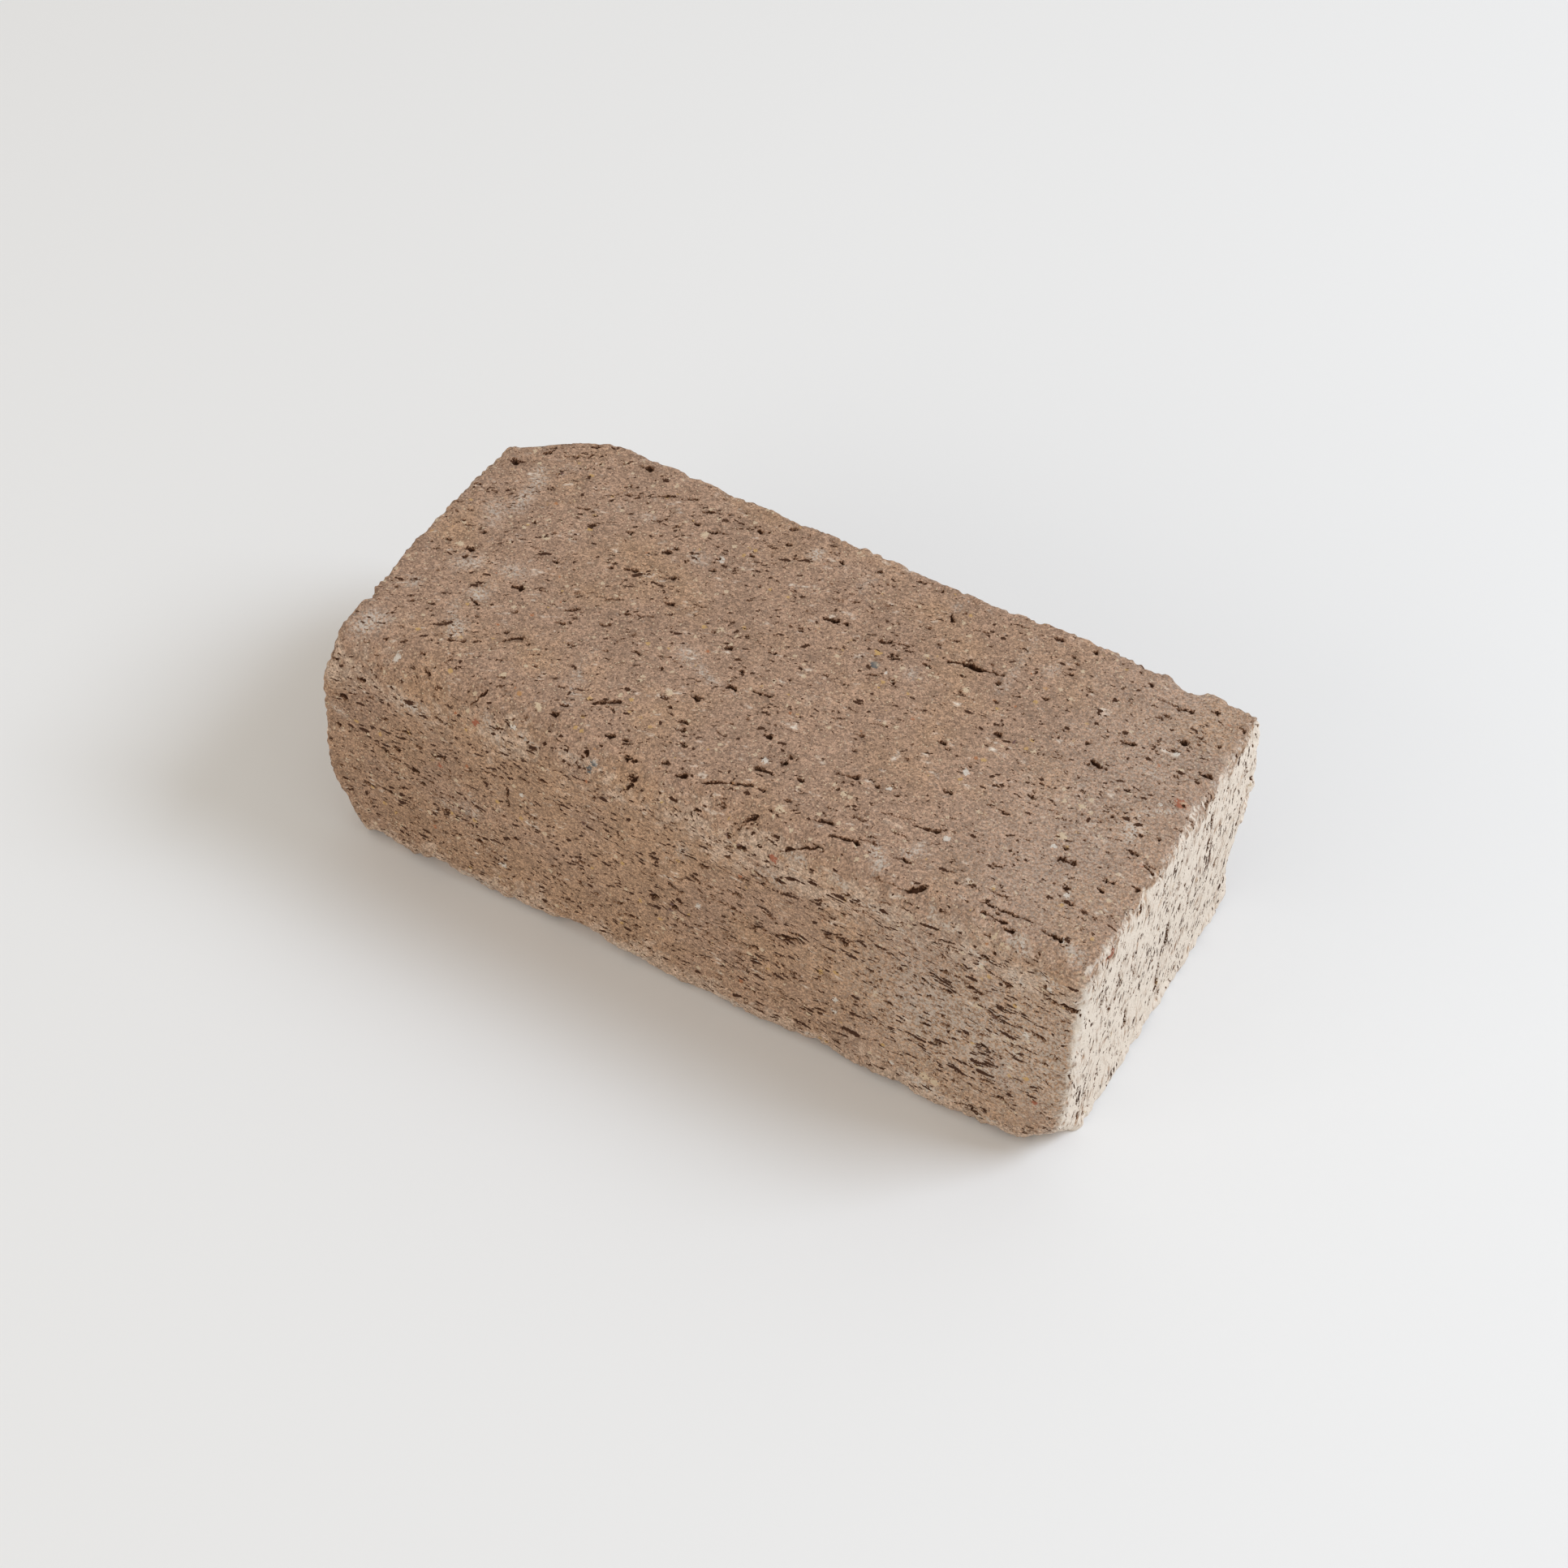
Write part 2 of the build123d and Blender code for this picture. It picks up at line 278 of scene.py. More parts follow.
# Tears of the top face: where each starts and ends, and its half width at the tail and at the head
top_tears = (
    (-101, 38.3, -89.3, 45.8, 0.22, 0.25), (-78.1, 34.2, -63.9, 42.2, 0.25, 0.3),
    (-60.7, 42.8, -57.2, 45.2, 0.4, 0.5), (-52.7, 41.7, -47.9, 44.1, 0.45, 0.5),
    (-46, 35.7, -41.8, 37.7, 0.45, 0.45), (-35.2, 43, -32.7, 44.7, 0.45, 0.5),
    (-27.7, 37.2, -25, 33, 0.3, 0.4), (-78, 48.7, -75.5, 48.8, 0.3, 0.9),
    (33.5, 25.4, 39, 27.6, 0.5, 0.9), (39, 27.2, 48.8, 28.8, 0.8, 0.65),
    (25.6, 43.5, 27.2, 40.3, 0.45, 0.6), (88.4, 43.1, 95.5, 43.3, 0.25, 0.4),
    (83.4, 12.7, 88, 11.8, 0.6, 0.35), (103.4, 19.6, 105.5, 19.5, 0.3, 0.3),
    (106.3, 21.8, 109.2, 21.7, 0.25, 0.35), (74.9, 9.3, 77.8, 9.2, 0.22, 0.28),
    (-49.3, -5.2, -42.2, -2.2, 0.25, 0.35), (-59.3, -3.6, -52.7, -1.1, 0.2, 0.25),
    (-63.9, -12.7, -61, -11.1, 0.5, 0.7), (-53.1, -12.7, -50.6, -11.5, 0.35, 0.45),
    (-70.6, -30.7, -67.7, -28.3, 0.5, 0.7), (-88, -22.8, -84.7, -24, 0.5, 0.6),
    (-101.8, -32.7, -99.3, -30.2, 0.3, 0.4), (-84.3, -39.7, -80.2, -37.7, 0.3, 0.4),
    (-38.2, -39, -32.7, -34.8, 0.4, 0.5), (0.2, -47.8, 12.5, -42.3, 0.42, 0.62),
    (14.3, -42.6, 16, -42.6, 0.6, 0.7), (10.2, -36.5, 15.2, -36, 0.7, 0.9),
    (14.3, -54, 18.5, -50.2, 0.35, 0.75), (30.6, -44.8, 36, -43.2, 0.25, 0.6),
    (28.9, -26.7, 34.3, -25.2, 0.3, 0.75), (22.7, -38.2, 26, -37.5, 0.2, 0.3),
    (75.5, -1.7, 78.8, -1.5, 0.35, 0.45), (68.8, -15.9, 73, -15.8, 0.25, 0.65),
    (91.5, -22.6, 95.7, -22.4, 0.5, 0.75), (110.9, -11.9, 113.4, -12.2, 0.4, 0.5),
    (110.5, -13.3, 115, -14.2, 0.4, 0.45), (104.9, -10.2, 107.6, -10.9, 0.5, 1.0),
    (54.7, -32.5, 61, -30.8, 0.3, 0.95), (45, -32.7, 52.6, -31, 0.25, 0.35),
    (101, -35, 113, -36, 0.2, 0.28), (81, -41.3, 86, -41.9, 0.25, 0.5),
    (55, -44.8, 59.8, -44, 0.3, 0.85), (38, -46.5, 44.7, -45.2, 0.4, 0.75),
    (44.7, -44, 50, -42.7, 0.2, 0.25), (81, -46, 95, -45.5, 0.28, 0.32),
    (82.6, -49.2, 89.7, -49, 0.3, 0.4), (98.4, -46.5, 103.4, -46.9, 0.5, 1.05),
    (53, -51.9, 63.8, -51.3, 0.18, 0.3), (63.8, -51.3, 66.7, -49.4, 0.5, 0.75),
    (102.6, -54.6, 110.5, -55, 0.7, 0.8), (38.8, -38.6, 43, -37.3, 0.25, 0.35),
    (51, -37.2, 55, -37.3, 0.2, 0.3), (77.6, -33.2, 81.3, -33.2, 0.22, 0.3),
)

# Pores of the top face: place, half length along the wire's way, and half width
top_pits = (
    (-75.2, 48.8, 0.3, 1.3), (-80, 46.4, 0.2, 0.5), (-76.4, 39.7, 0.6, 0.9), (-72, 36.6, 0.2, 0.6),
    (-77.2, 31.8, 0.2, 0.5), (-63.2, 30.8, 0.3, 0.6), (-65.8, 23.3, 0.3, 0.9), (-53, 21.7, 0.5, 0.9),
    (-51.4, 24.1, 0.2, 0.6), (-51.6, 36.2, 0.2, 0.6), (-42.2, 31.3, 0.2, 0.6), (-39.4, 26.9, 0.3, 0.8),
    (-76.2, 19.9, 0.4, 0.9), (-82.2, 24.4, 1.6, 0.5), (-79.9, 27.7, 0.2, 0.5), (-90.2, 12.2, 0.3, 0.6),
    (-82.8, 11.4, 0.3, 0.6), (-57, 10.6, 1.4, 0.8), (-62.7, 8.2, 0.3, 0.6), (-47.5, 13, 1.6, 0.8),
    (-41.4, 4.6, 0.8, 0.7), (-76.9, 1.8, 0.4, 0.8), (-71, 2, 0.4, 0.7), (-110.2, 30.8, 0.8, 1.1),
    (-107.7, 32.3, 0.5, 0.8), (-103, 38.8, 0.4, 0.9), (-98.5, 46.7, 0.4, 0.8), (-92.8, 47.8, 0.6, 0.9),
    (-87.6, 50.9, 0.5, 1.0), (-99.8, 44.7, 0.2, 0.6), (-95.9, 33.2, 0.3, 0.9), (-94, 26.4, 0.3, 0.8),
    (-98.7, 19.7, 0.2, 0.6), (-100, 1, 0.4, 0.8), (-112.5, 17, 0.4, 0.7), (-112.7, 8, 0.3, 0.7),
    (-46.6, 35.3, 0.3, 0.8), (-46.5, 21, 0.2, 0.5), (-67, 14, 0.3, 0.5),
    (-27.8, 48.7, 0.4, 0.9), (-26, 42.9, 0.5, 0.9), (-20.7, 38.8, 0.3, 0.8), (-32.3, 32.7, 0.3, 0.5),
    (-15, 27, 0.7, 0.5), (-23.2, 27.2, 0.4, 0.5), (-1.1, 22.8, 1.2, 1.1), (3.1, 23.2, 0.3, 0.7),
    (1.4, 32.7, 0.4, 0.7), (6.7, 31.8, 0.9, 0.5), (9.5, 36.4, 0.8, 0.6), (-4.4, 30.8, 1.1, 0.4),
    (-6.1, 15.3, 0.4, 0.6), (13.5, 50.8, 1.6, 0.8), (18, 49.2, 0.9, 0.6), (-15.8, 51.6, 1.2, 0.6),
    (-12.3, 47.2, 0.4, 0.6), (-9.8, 44.1, 0.3, 0.6), (1, 47, 0.4, 0.6), (6.4, 44.3, 1.3, 0.35),
    (15.2, 40.2, 1.7, 0.35), (36, 41, 1.6, 0.7), (22.7, 34.1, 0.4, 0.5), (31.2, 33.3, 0.9, 0.5),
    (28.5, 30, 0.4, 0.6), (29.3, 21.4, 0.8, 0.5), (15.7, 23.2, 1.2, 0.8), (20.6, 24.8, 1.0, 0.7),
    (20.2, 20, 0.5, 0.8), (17, 26.8, 0.4, 0.7), (9.8, 20.7, 1.1, 0.35), (11.4, 13.5, 0.5, 0.6),
    (18.5, 9.8, 1.0, 0.5), (24.8, 10.2, 0.4, 0.6), (7.5, 3.1, 1.1, 0.8), (13.1, 2.6, 0.4, 0.8),
    (-7.8, 3.1, 0.4, 0.8), (-4.4, 3.3, 0.3, 0.5), (-25.7, 1.8, 0.5, 0.9), (-33.6, 4.2, 1.0, 0.5),
    (-36.5, 5.8, 1.1, 0.35), (-25.7, 6.4, 1.0, 0.5), (-17.5, 4.6, 0.5, 0.8), (36.4, 4.8, 0.9, 0.5),
    (-38.6, 22.3, 0.3, 0.8), (48.4, 25.3, 0.4, 0.7), (48.8, 40.7, 1.0, 0.5), (40.5, 37.3, 0.4, 0.6),
    (63, 38.7, 1.3, 0.5), (70.9, 35.6, 0.8, 0.4), (61.7, 45.2, 0.8, 0.4), (64.7, 49.8, 1.5, 0.6),
    (54.7, 49.3, 1.0, 0.6), (44.7, 48.7, 1.0, 0.6), (74.2, 50.8, 0.5, 0.6), (79.3, 50.1, 0.5, 0.7),
    (55.2, 23.4, 1.0, 0.6), (62.2, 26.7, 0.4, 0.7), (55.9, 11, 0.8, 0.6), (57.6, 8.1, 0.4, 0.7),
    (76.3, 14.6, 0.9, 0.4), (79.2, 18.1, 0.3, 0.6), (82.3, 11.1, 0.4, 0.6), (88, 23.7, 1.1, 0.8),
    (91.3, 36.4, 0.5, 1.0), (96.8, 43.5, 0.7, 1.1), (84.2, 46.8, 0.4, 0.8), (81.7, 38, 0.9, 0.3),
    (95.9, 34.5, 0.3, 0.5), (99.7, 31.8, 1.0, 1.2), (99.5, 27.4, 0.8, 1.0), (110.5, 23.9, 0.9, 1.0),
    (108.8, 35.5, 0.4, 0.7), (106.7, 31.7, 1.0, 0.4), (103.4, 35.6, 0.3, 0.5), (111.7, 45.6, 0.6, 1.0),
    (102.6, 47.2, 0.5, 0.9), (95.5, 8.5, 0.4, 1.0), (103, 1.2, 0.4, 0.8), (112.8, 2.7, 1.0, 0.8),
    (-99.3, -6.3, 0.3, 1.1), (-98.7, -10, 0.3, 0.8), (-79.8, -12.2, 0.6, 1.4), (-73, -9.4, 1.2, 0.4),
    (-62, -17.7, 0.8, 0.5), (-44, -11.5, 1.0, 0.4), (-39.5, -16.5, 0.7, 0.7), (-54.7, -23.4, 0.8, 0.9),
    (-59.2, -26.1, 0.2, 0.5), (-72.5, -28.8, 0.4, 0.7), (-65.6, -29.4, 0.4, 0.5), (-88.5, -17, 0.3, 0.7),
    (-102.2, -18, 0.3, 0.6), (-74.6, -20.8, 0.3, 0.5), (-107.7, -29, 0.3, 0.5), (-82.2, -27.9, 0.3, 0.6),
    (-88, -39.8, 0.3, 0.5), (-84.7, -37.7, 0.3, 0.5), (-68.5, -39, 0.6, 0.6), (-58.9, -35.4, 0.3, 0.5),
    (-48.7, -38.6, 0.4, 1.0), (-44.2, -43.7, 0.3, 0.6), (-45.3, -47.3, 0.5, 1.1), (-82.8, -48, 0.3, 0.6),
    (-78.5, -51.7, 0.4, 0.6), (-97.8, -41.7, 0.3, 0.5), (-66.4, -53.8, 1.3, 0.7),
    (-18.7, -1.9, 0.4, 1.1), (-11.7, -7.6, 0.8, 0.4), (-6, -6.7, 0.3, 0.5), (-10.4, -14.4, 0.9, 0.9),
    (-3.6, -12.3, 0.9, 0.8), (-0.7, -11.9, 0.3, 0.8), (-16.7, -22.5, 0.4, 1.2), (-32.7, -14.2, 0.3, 0.6),
    (-38.2, -16.5, 0.4, 0.7), (-30.2, -18, 0.3, 0.6), (-19.4, -16.9, 0.7, 0.4), (-23.6, -27.7, 0.4, 0.7),
    (-20.7, -29.4, 0.6, 0.6), (-4, -26, 0.4, 0.6), (-4.2, -30.6, 1.1, 0.6), (6.8, -24.8, 0.4, 0.9),
    (-14, -35.3, 0.5, 0.9), (-14.8, -32.3, 0.4, 0.8), (11.4, -30.7, 0.5, 0.9), (14.7, -31, 0.5, 1.1),
    (9.7, -32.7, 0.3, 0.6), (15.2, -28.2, 0.4, 0.8), (21.8, -33.8, 0.3, 0.8), (29.7, -5.2, 1.8, 1.1),
    (27.2, -11.7, 0.4, 0.9), (28.7, -17, 0.3, 0.6), (18.5, -9.4, 0.3, 0.5), (9.7, -20, 0.9, 0.4),
    (33, -38.6, 0.5, 0.8), (19.3, -41.5, 0.8, 0.35), (22.7, -42, 0.5, 0.8), (-5.7, -48.2, 1.3, 0.9),
    (-28.6, -46.5, 0.5, 0.8), (-24.4, -45.7, 0.3, 0.6), (-11.5, -47, 0.4, 0.7), (-14.8, -42.3, 0.8, 0.4),
    (-10.2, -39.8, 0.3, 0.6), (-17.3, -52.7, 1.0, 0.6), (2.7, -53.2, 0.4, 0.8), (-32.3, -52.3, 0.4, 0.6),
    (20.6, -47.3, 0.3, 0.6), (36.8, -54.8, 0.5, 0.9), (46.7, -2.2, 0.4, 0.9), (96.3, -0.2, 0.9, 0.4),
    (56, -6, 1.3, 0.5), (83, -9, 0.9, 0.5), (75, -7.3, 0.3, 0.5), (90.7, -18.7, 0.5, 0.7),
    (56.3, -17.5, 0.9, 0.6), (112.3, -21, 0.5, 0.9), (104, -23, 0.3, 0.6), (105, -26.7, 0.6, 1.0),
    (81.5, -21, 0.3, 0.5), (39.5, -25.4, 0.3, 0.5), (41.7, -12.7, 0.4, 0.8), (82.3, -28.6, 0.3, 0.5),
    (97.2, -30.7, 0.4, 0.8), (99.7, -34.8, 0.5, 0.9), (71.7, -39.4, 0.8, 0.5), (70, -41.5, 0.6, 0.5),
    (91, -50.4, 0.5, 0.9), (73, -31.7, 0.7, 0.35), (109.6, -3, 0.3, 0.6), (113.3, -36.4, 0.3, 0.6),
)

# Tears and pores of the front face, at their place along the length and their height above the bed
front_tears = (
    (-55.8, 48.2, -55, 41.2, 0.3, 0.4), (-20.7, 50, -19, 48.2, 0.45, 0.5), (4.7, 52.8, 7.2, 53, 0.4, 0.45),
    (20.2, 60, 24.3, 59, 0.3, 0.35), (13, 47.6, 20, 47.2, 0.35, 0.5), (28.5, 39.5, 34.7, 40.5, 0.5, 0.75),
    (20, 38.5, 26, 38.8, 0.3, 0.4), (14.3, 28.5, 20.6, 29.2, 0.25, 0.5),
    (16.4, 21.6, 20.2, 20.3, 0.35, 0.4), (-18.2, 19.2, -14, 20, 0.35, 0.45),
    (27.7, 70.5, 38.5, 75.3, 0.4, 0.6), (-20.7, 73.7, -17.3, 76, 0.4, 0.5),
    (-68.5, 70.3, -65.2, 74.6, 0.4, 0.7), (42.6, 47.8, 45.5, 49.4, 0.4, 0.65),
    (45.5, 49.4, 48.8, 48.2, 0.65, 0.8), (40.5, 57, 45, 56.2, 0.3, 0.45), (46.3, 66.2, 48.8, 67, 0.4, 0.5),
    (51, 64.5, 55, 66, 0.2, 0.3), (91.3, 62.4, 96, 60.7, 0.35, 0.5), (103, 48, 107.2, 46.7, 0.35, 0.45),
    (105, 62.4, 113.6, 62.7, 0.55, 0.65), (71.3, 48.7, 74.7, 47, 0.4, 0.45),
    (49.7, 24.2, 53.4, 22.8, 0.35, 0.55), (80.5, 55.6, 86, 53.6, 0.3, 0.5),
    (-19.8, 66.5, -17, 69.5, 0.35, 0.45), (13.5, 41.5, 17.5, 41, 0.2, 0.3),
    (56.5, 69.8, 60, 70.2, 0.25, 0.3),
)
front_pits = (
    (-77.2, 47.7, 0.8, 0.9), (-63, 50.5, 0.7, 0.5), (-63.3, 47.4, 0.6, 0.6), (-49.7, 54, 0.9, 0.5),
    (-44.3, 57.2, 0.9, 1.0), (-54.3, 57, 0.6, 0.5), (-89, 48.8, 0.5, 0.5), (-84.7, 48.2, 0.4, 0.7),
    (-96.8, 41.2, 1.9, 0.8), (-91.8, 43.2, 0.6, 0.8), (-86.8, 38.2, 1.4, 0.7), (-92.2, 39, 0.5, 0.7),
    (-81.4, 36.2, 1.3, 0.5), (-83.9, 34, 0.9, 0.6), (-78.5, 32, 0.9, 0.5), (-94.7, 36, 0.3, 0.6),
    (-99.7, 31.6, 0.8, 0.4), (-111.8, 42.7, 1.1, 0.7), (-102.7, 23.7, 0.5, 0.8), (-95.6, 24.5, 0.9, 0.6),
    (-85, 25.3, 0.4, 0.6), (-80.2, 21.2, 1.0, 0.5), (-73, 20, 0.8, 0.7), (-86, 18.7, 0.8, 0.5),
    (-76.8, 25, 0.3, 0.6), (-68, 26.6, 0.8, 0.5), (-61.8, 17, 2.2, 0.5), (-53.5, 28.7, 0.4, 0.6),
    (-51.5, 18.2, 0.4, 0.6), (-102.7, 63.7, 0.8, 0.9), (-109.3, 55.3, 1.2, 1.0), (-77.2, 62, 0.8, 0.8),
    (-83.5, 72.4, 0.8, 0.7), (-79, 68.2, 0.7, 0.6), (-32, 48.2, 1.2, 0.5), (-1.5, 50, 1.2, 0.5),
    (-36, 39, 0.8, 0.5), (-9.4, 40.7, 0.5, 0.6), (-4.4, 39.2, 0.5, 0.6), (4.3, 42.8, 0.7, 0.4),
    (9, 42.8, 0.8, 0.45), (7.2, 39.5, 0.8, 0.4), (18, 54.7, 1.2, 0.5), (23, 56.3, 1.0, 0.4),
    (25, 48.7, 1.3, 0.35), (27.2, 45.3, 1.1, 0.4), (33, 43, 1.5, 0.5), (21.4, 30, 1.2, 0.7),
    (33.5, 27.8, 1.2, 0.55), (34.7, 25.7, 0.5, 0.7), (29, 31.2, 0.8, 0.35), (26, 34.5, 0.6, 0.4),
    (18.5, 25.5, 0.8, 0.35), (28, 23.7, 1.3, 0.4), (30.2, 17.4, 1.0, 0.6), (-3.2, 31.6, 0.6, 0.9),
    (-9.2, 32, 0.3, 1.1), (-32, 32.4, 0.4, 0.7), (-2.3, 21.6, 0.4, 0.6), (0.6, 29.5, 0.8, 0.4),
    (0.2, 26.3, 0.4, 0.7), (12.2, 68.2, 0.9, 0.7), (16.4, 66.2, 0.6, 1.1), (13.5, 65, 1.0, 0.5),
    (36.8, 75, 0.7, 1.0), (-3.6, 64, 0.4, 0.7), (-32.7, 62.8, 0.5, 0.7), (41.7, 62, 1.2, 0.4),
    (47.6, 59.2, 1.3, 0.4), (67.2, 58.5, 1.3, 0.5), (71.3, 66.6, 0.9, 0.5), (78.4, 65.7, 1.9, 0.5),
    (86.7, 67.4, 1.2, 0.9), (77.2, 55.2, 0.8, 0.8), (87.4, 52.8, 1.4, 0.8), (86.7, 50.3, 0.6, 0.7),
    (78.8, 48.2, 1.0, 0.55), (78.4, 35, 1.2, 0.45), (57.6, 22.8, 1.2, 0.6), (78, 26.2, 0.5, 0.8),
    (81.3, 25.2, 0.5, 0.7), (91.7, 20.3, 0.5, 0.7), (96.3, 16.2, 1.3, 0.6), (111.3, 17.4, 0.5, 0.8),
    (90, 34, 0.5, 0.8), (107.6, 34, 1.0, 0.3), (110, 41.6, 0.9, 0.5), (88, 7.4, 1.4, 0.7),
    (65, 37.4, 0.4, 0.8), (100.5, 57, 0.5, 0.7), (92.6, 47.4, 0.9, 0.8), (104, 67, 0.5, 0.7),
)

# Tears and pores of the right end, at their place across the width and their height above the bed
end_tears = (
    (3.5, 40, 5, 29.8, 0.8, 1.0), (2, 27, 2.5, 12, 0.4, 0.8), (-19.5, 28.5, -18.5, 20.3, 0.7, 0.85),
    (-41, 62, -41, 51, 0.4, 0.7), (-6, 64.5, -6, 59.5, 0.4, 0.5), (24, 53, 24, 49.5, 0.7, 0.8),
    (23.5, 63.5, 25, 57, 0.6, 0.7), (-18.5, 50, -18, 37, 0.22, 0.3), (-30.5, 58, -30.5, 44, 0.22, 0.3),
    (46.5, 66, 47, 38, 0.2, 0.3), (32.5, 72, 33, 65, 0.25, 0.35),
)
end_pits = (
    (-21.8, 70, 1.2, 1.0), (-11.8, 65.3, 0.8, 0.7), (-16, 65.3, 0.7, 0.6), (4.4, 51.2, 0.5, 0.8),
    (-27.7, 46, 0.5, 0.9), (-27.2, 41.2, 0.5, 0.7), (-33.5, 42.8, 0.6, 0.8), (-24, 46.6, 0.5, 0.7),
    (2.3, 28.7, 0.7, 1.1), (9.8, 39.5, 0.8, 0.8), (15.7, 35.3, 0.8, 0.6), (33.6, 35, 0.8, 1.5),
    (43.2, 33.2, 0.7, 0.8), (22.7, 35.7, 0.9, 0.7), (-11, 28.7, 0.7, 0.9), (-4, 32, 0.6, 0.7),
    (9.8, 22.4, 0.9, 0.6), (16, 24, 0.9, 0.7), (-48, 22, 0.8, 0.6), (-35.2, 16.2, 1.0, 0.7),
    (-21.8, 12.4, 0.8, 0.6), (-10.6, 10.7, 0.5, 0.5), (-4.3, 8.2, 0.6, 0.7), (-44, 8.7, 0.9, 0.9),
    (7.7, 6.6, 1.2, 0.7), (3.2, 15, 1.2, 1.3), (21, 20, 0.6, 0.6), (39.4, 48.2, 0.6, 0.6),
    (46, 60, 1.2, 0.6), (17.5, 71.5, 1.2, 0.9), (41.2, 71, 1.0, 0.7), (50, 67, 0.7, 0.8),
    (-34.5, 37, 0.9, 0.7), (12, 53.8, 0.5, 0.5), (-14, 56.5, 0.6, 0.5), (38, 25, 0.6, 0.6),
)
# A pore is longer and narrower than listed: the share of its width added to its length, and the share left
drawn_share, torn_share = 0.35, 0.85
for face, tears in ((top_face, top_tears), (front_face, front_tears), (right_end, end_tears)):
    for start_u, start_v, end_u, end_v, tail, head in tears:
        face.tear((start_u, start_v), (end_u, end_v), tail, head)
for face, pits, heading in (
    (top_face, top_pits, fanned),
    (front_face, front_pits, lengthwise),
    (right_end, end_pits, upright),
):
    for u, v, half_length, half_width in pits:
        drawn_length = half_length + half_width * drawn_share
        face.pit(np.array((u, v)), drawn_length, half_width * torn_share, heading(u, v))

# Stones and coarse grains that catch the eye: face, place, radius and colour
stones = (
    (top_face, 17.7, 13.5, 1.35, slate), (top_face, 109.7, 11.7, 1.6, brick_red),
    (top_face, 105, 8.3, 0.9, chalk), (top_face, 68.8, 7.9, 0.9, cream), (top_face, 28, 24.3, 0.9, cream),
    (top_face, -31.5, 27.3, 0.8, cream), (top_face, 14, 28.7, 0.7, cream),
    (top_face, 43.2, 18.4, 1.2, cream), (top_face, 16.3, 18.1, 1.1, ochre),
    (top_face, -38.4, 27.3, 1.2, chalk), (top_face, 21.8, 12.3, 0.6, chalk),
    (top_face, -83.9, 8.8, 1.1, cream), (top_face, -75.2, 18.2, 0.8, ochre),
    (top_face, -47.5, 33.5, 1.2, cream), (top_face, -24.4, 3.1, 1.0, cream),
    (top_face, -102.7, -6.1, 1.0, cream), (top_face, -78.1, -11.5, 0.8, cream),
    (top_face, 30.6, -4.3, 0.8, cream), (top_face, 33.9, -4, 0.9, cream), (top_face, 11, -32.8, 1.2, chalk),
    (top_face, 34.3, -32.2, 1.2, cream), (top_face, 57.2, -8.6, 1.3, chalk),
    (top_face, 88.4, -15.7, 1.4, cream), (top_face, 88.4, -19.8, 0.7, chalk),
    (top_face, 64, -32, 1.1, chalk), (top_face, 43.2, -24.2, 0.8, chalk),
    (top_face, 98.6, -32.7, 0.9, chalk), (top_face, 104.3, -46.9, 1.1, chalk),
    (top_face, -23.2, -24.8, 1.0, cream), (top_face, -64.3, -42.7, 0.9, cream),
    (top_face, -54.3, -53.2, 1.2, chalk), (top_face, -50.6, -46.7, 1.0, cream),
    (top_face, -29, -54, 1.4, chalk), (top_face, 9.3, -37.8, 0.7, cream),
    (top_face, 22.7, -45.7, 1.1, cream), (top_face, 83.6, -4, 0.9, cream),
    (top_face, 88.6, -3.4, 1.0, cream), (top_face, 101.3, 27, 0.8, chalk),
    (top_face, -94.9, 33.6, 0.8, plum), (top_face, -99.3, -6.3, 0.7, plum),
    (top_face, 62.6, 8.1, 0.6, plum), (top_face, -33.6, -32.7, 0.8, cream),
    (front_face, -9.2, 32, 1.2, plum), (front_face, -3.2, 32.4, 1.0, plum),
    (front_face, -3.6, 29.8, 0.9, plum), (front_face, 4.7, 36.2, 0.9, chalk),
    (front_face, -50.6, 47.6, 0.9, chalk), (front_face, 97.6, 54.6, 0.8, ochre),
    (front_face, 103.4, 29, 0.8, ochre), (front_face, -68.5, 63.2, 0.7, ochre),
    (front_face, -65.6, 67, 0.9, brick_red), (front_face, 48.7, 48.2, 0.9, brick_red),
    (front_face, -77.2, 44.4, 0.8, brick_red), (front_face, 26.4, 67.8, 1.2, brick_red),
    (front_face, -29.8, 68.7, 1.0, slate), (front_face, 16.4, 66.2, 1.1, plum),
    (front_face, 12.6, 68.2, 0.8, plum), (front_face, -6.9, 24, 0.7, ochre),
    (front_face, 46.7, 35.4, 0.8, ochre), (front_face, 42.2, 32.8, 0.9, ochre),
    (front_face, 62.2, 15.8, 0.8, ochre), (front_face, -93.9, 72.4, 1.1, chalk),
    (front_face, 86.8, 63.7, 1.2, chalk), (front_face, 87.6, 48.2, 1.1, cream),
    (front_face, 47.2, 25, 0.9, chalk), (front_face, 47.2, 20, 0.9, chalk),
    (front_face, 99.7, 37, 1.2, chalk), (front_face, 101.7, 45.7, 1.2, chalk),
    (front_face, 106, 66.6, 0.9, chalk), (front_face, 75.5, 11.3, 1.5, cream),
    (front_face, 78.4, 10.8, 1.2, cream), (front_face, 65.5, 10.3, 0.8, chalk),
    (front_face, -17.7, 29.5, 0.7, cream), (front_face, 21, 27, 0.8, cream),
    (front_face, -57.7, 15.8, 1.2, chalk), (front_face, -31.5, 48, 0.8, plum),
    (front_face, 106.8, 21.2, 0.8, brick_red), (front_face, 92.6, 47.2, 1.0, plum),
    (right_end, -40.6, 71.2, 2.2, brick_red), (right_end, 3.2, 15, 1.4, ochre),
)
for face, u, v, radius, colour in stones:
    face.stone((u, v), radius, colour)

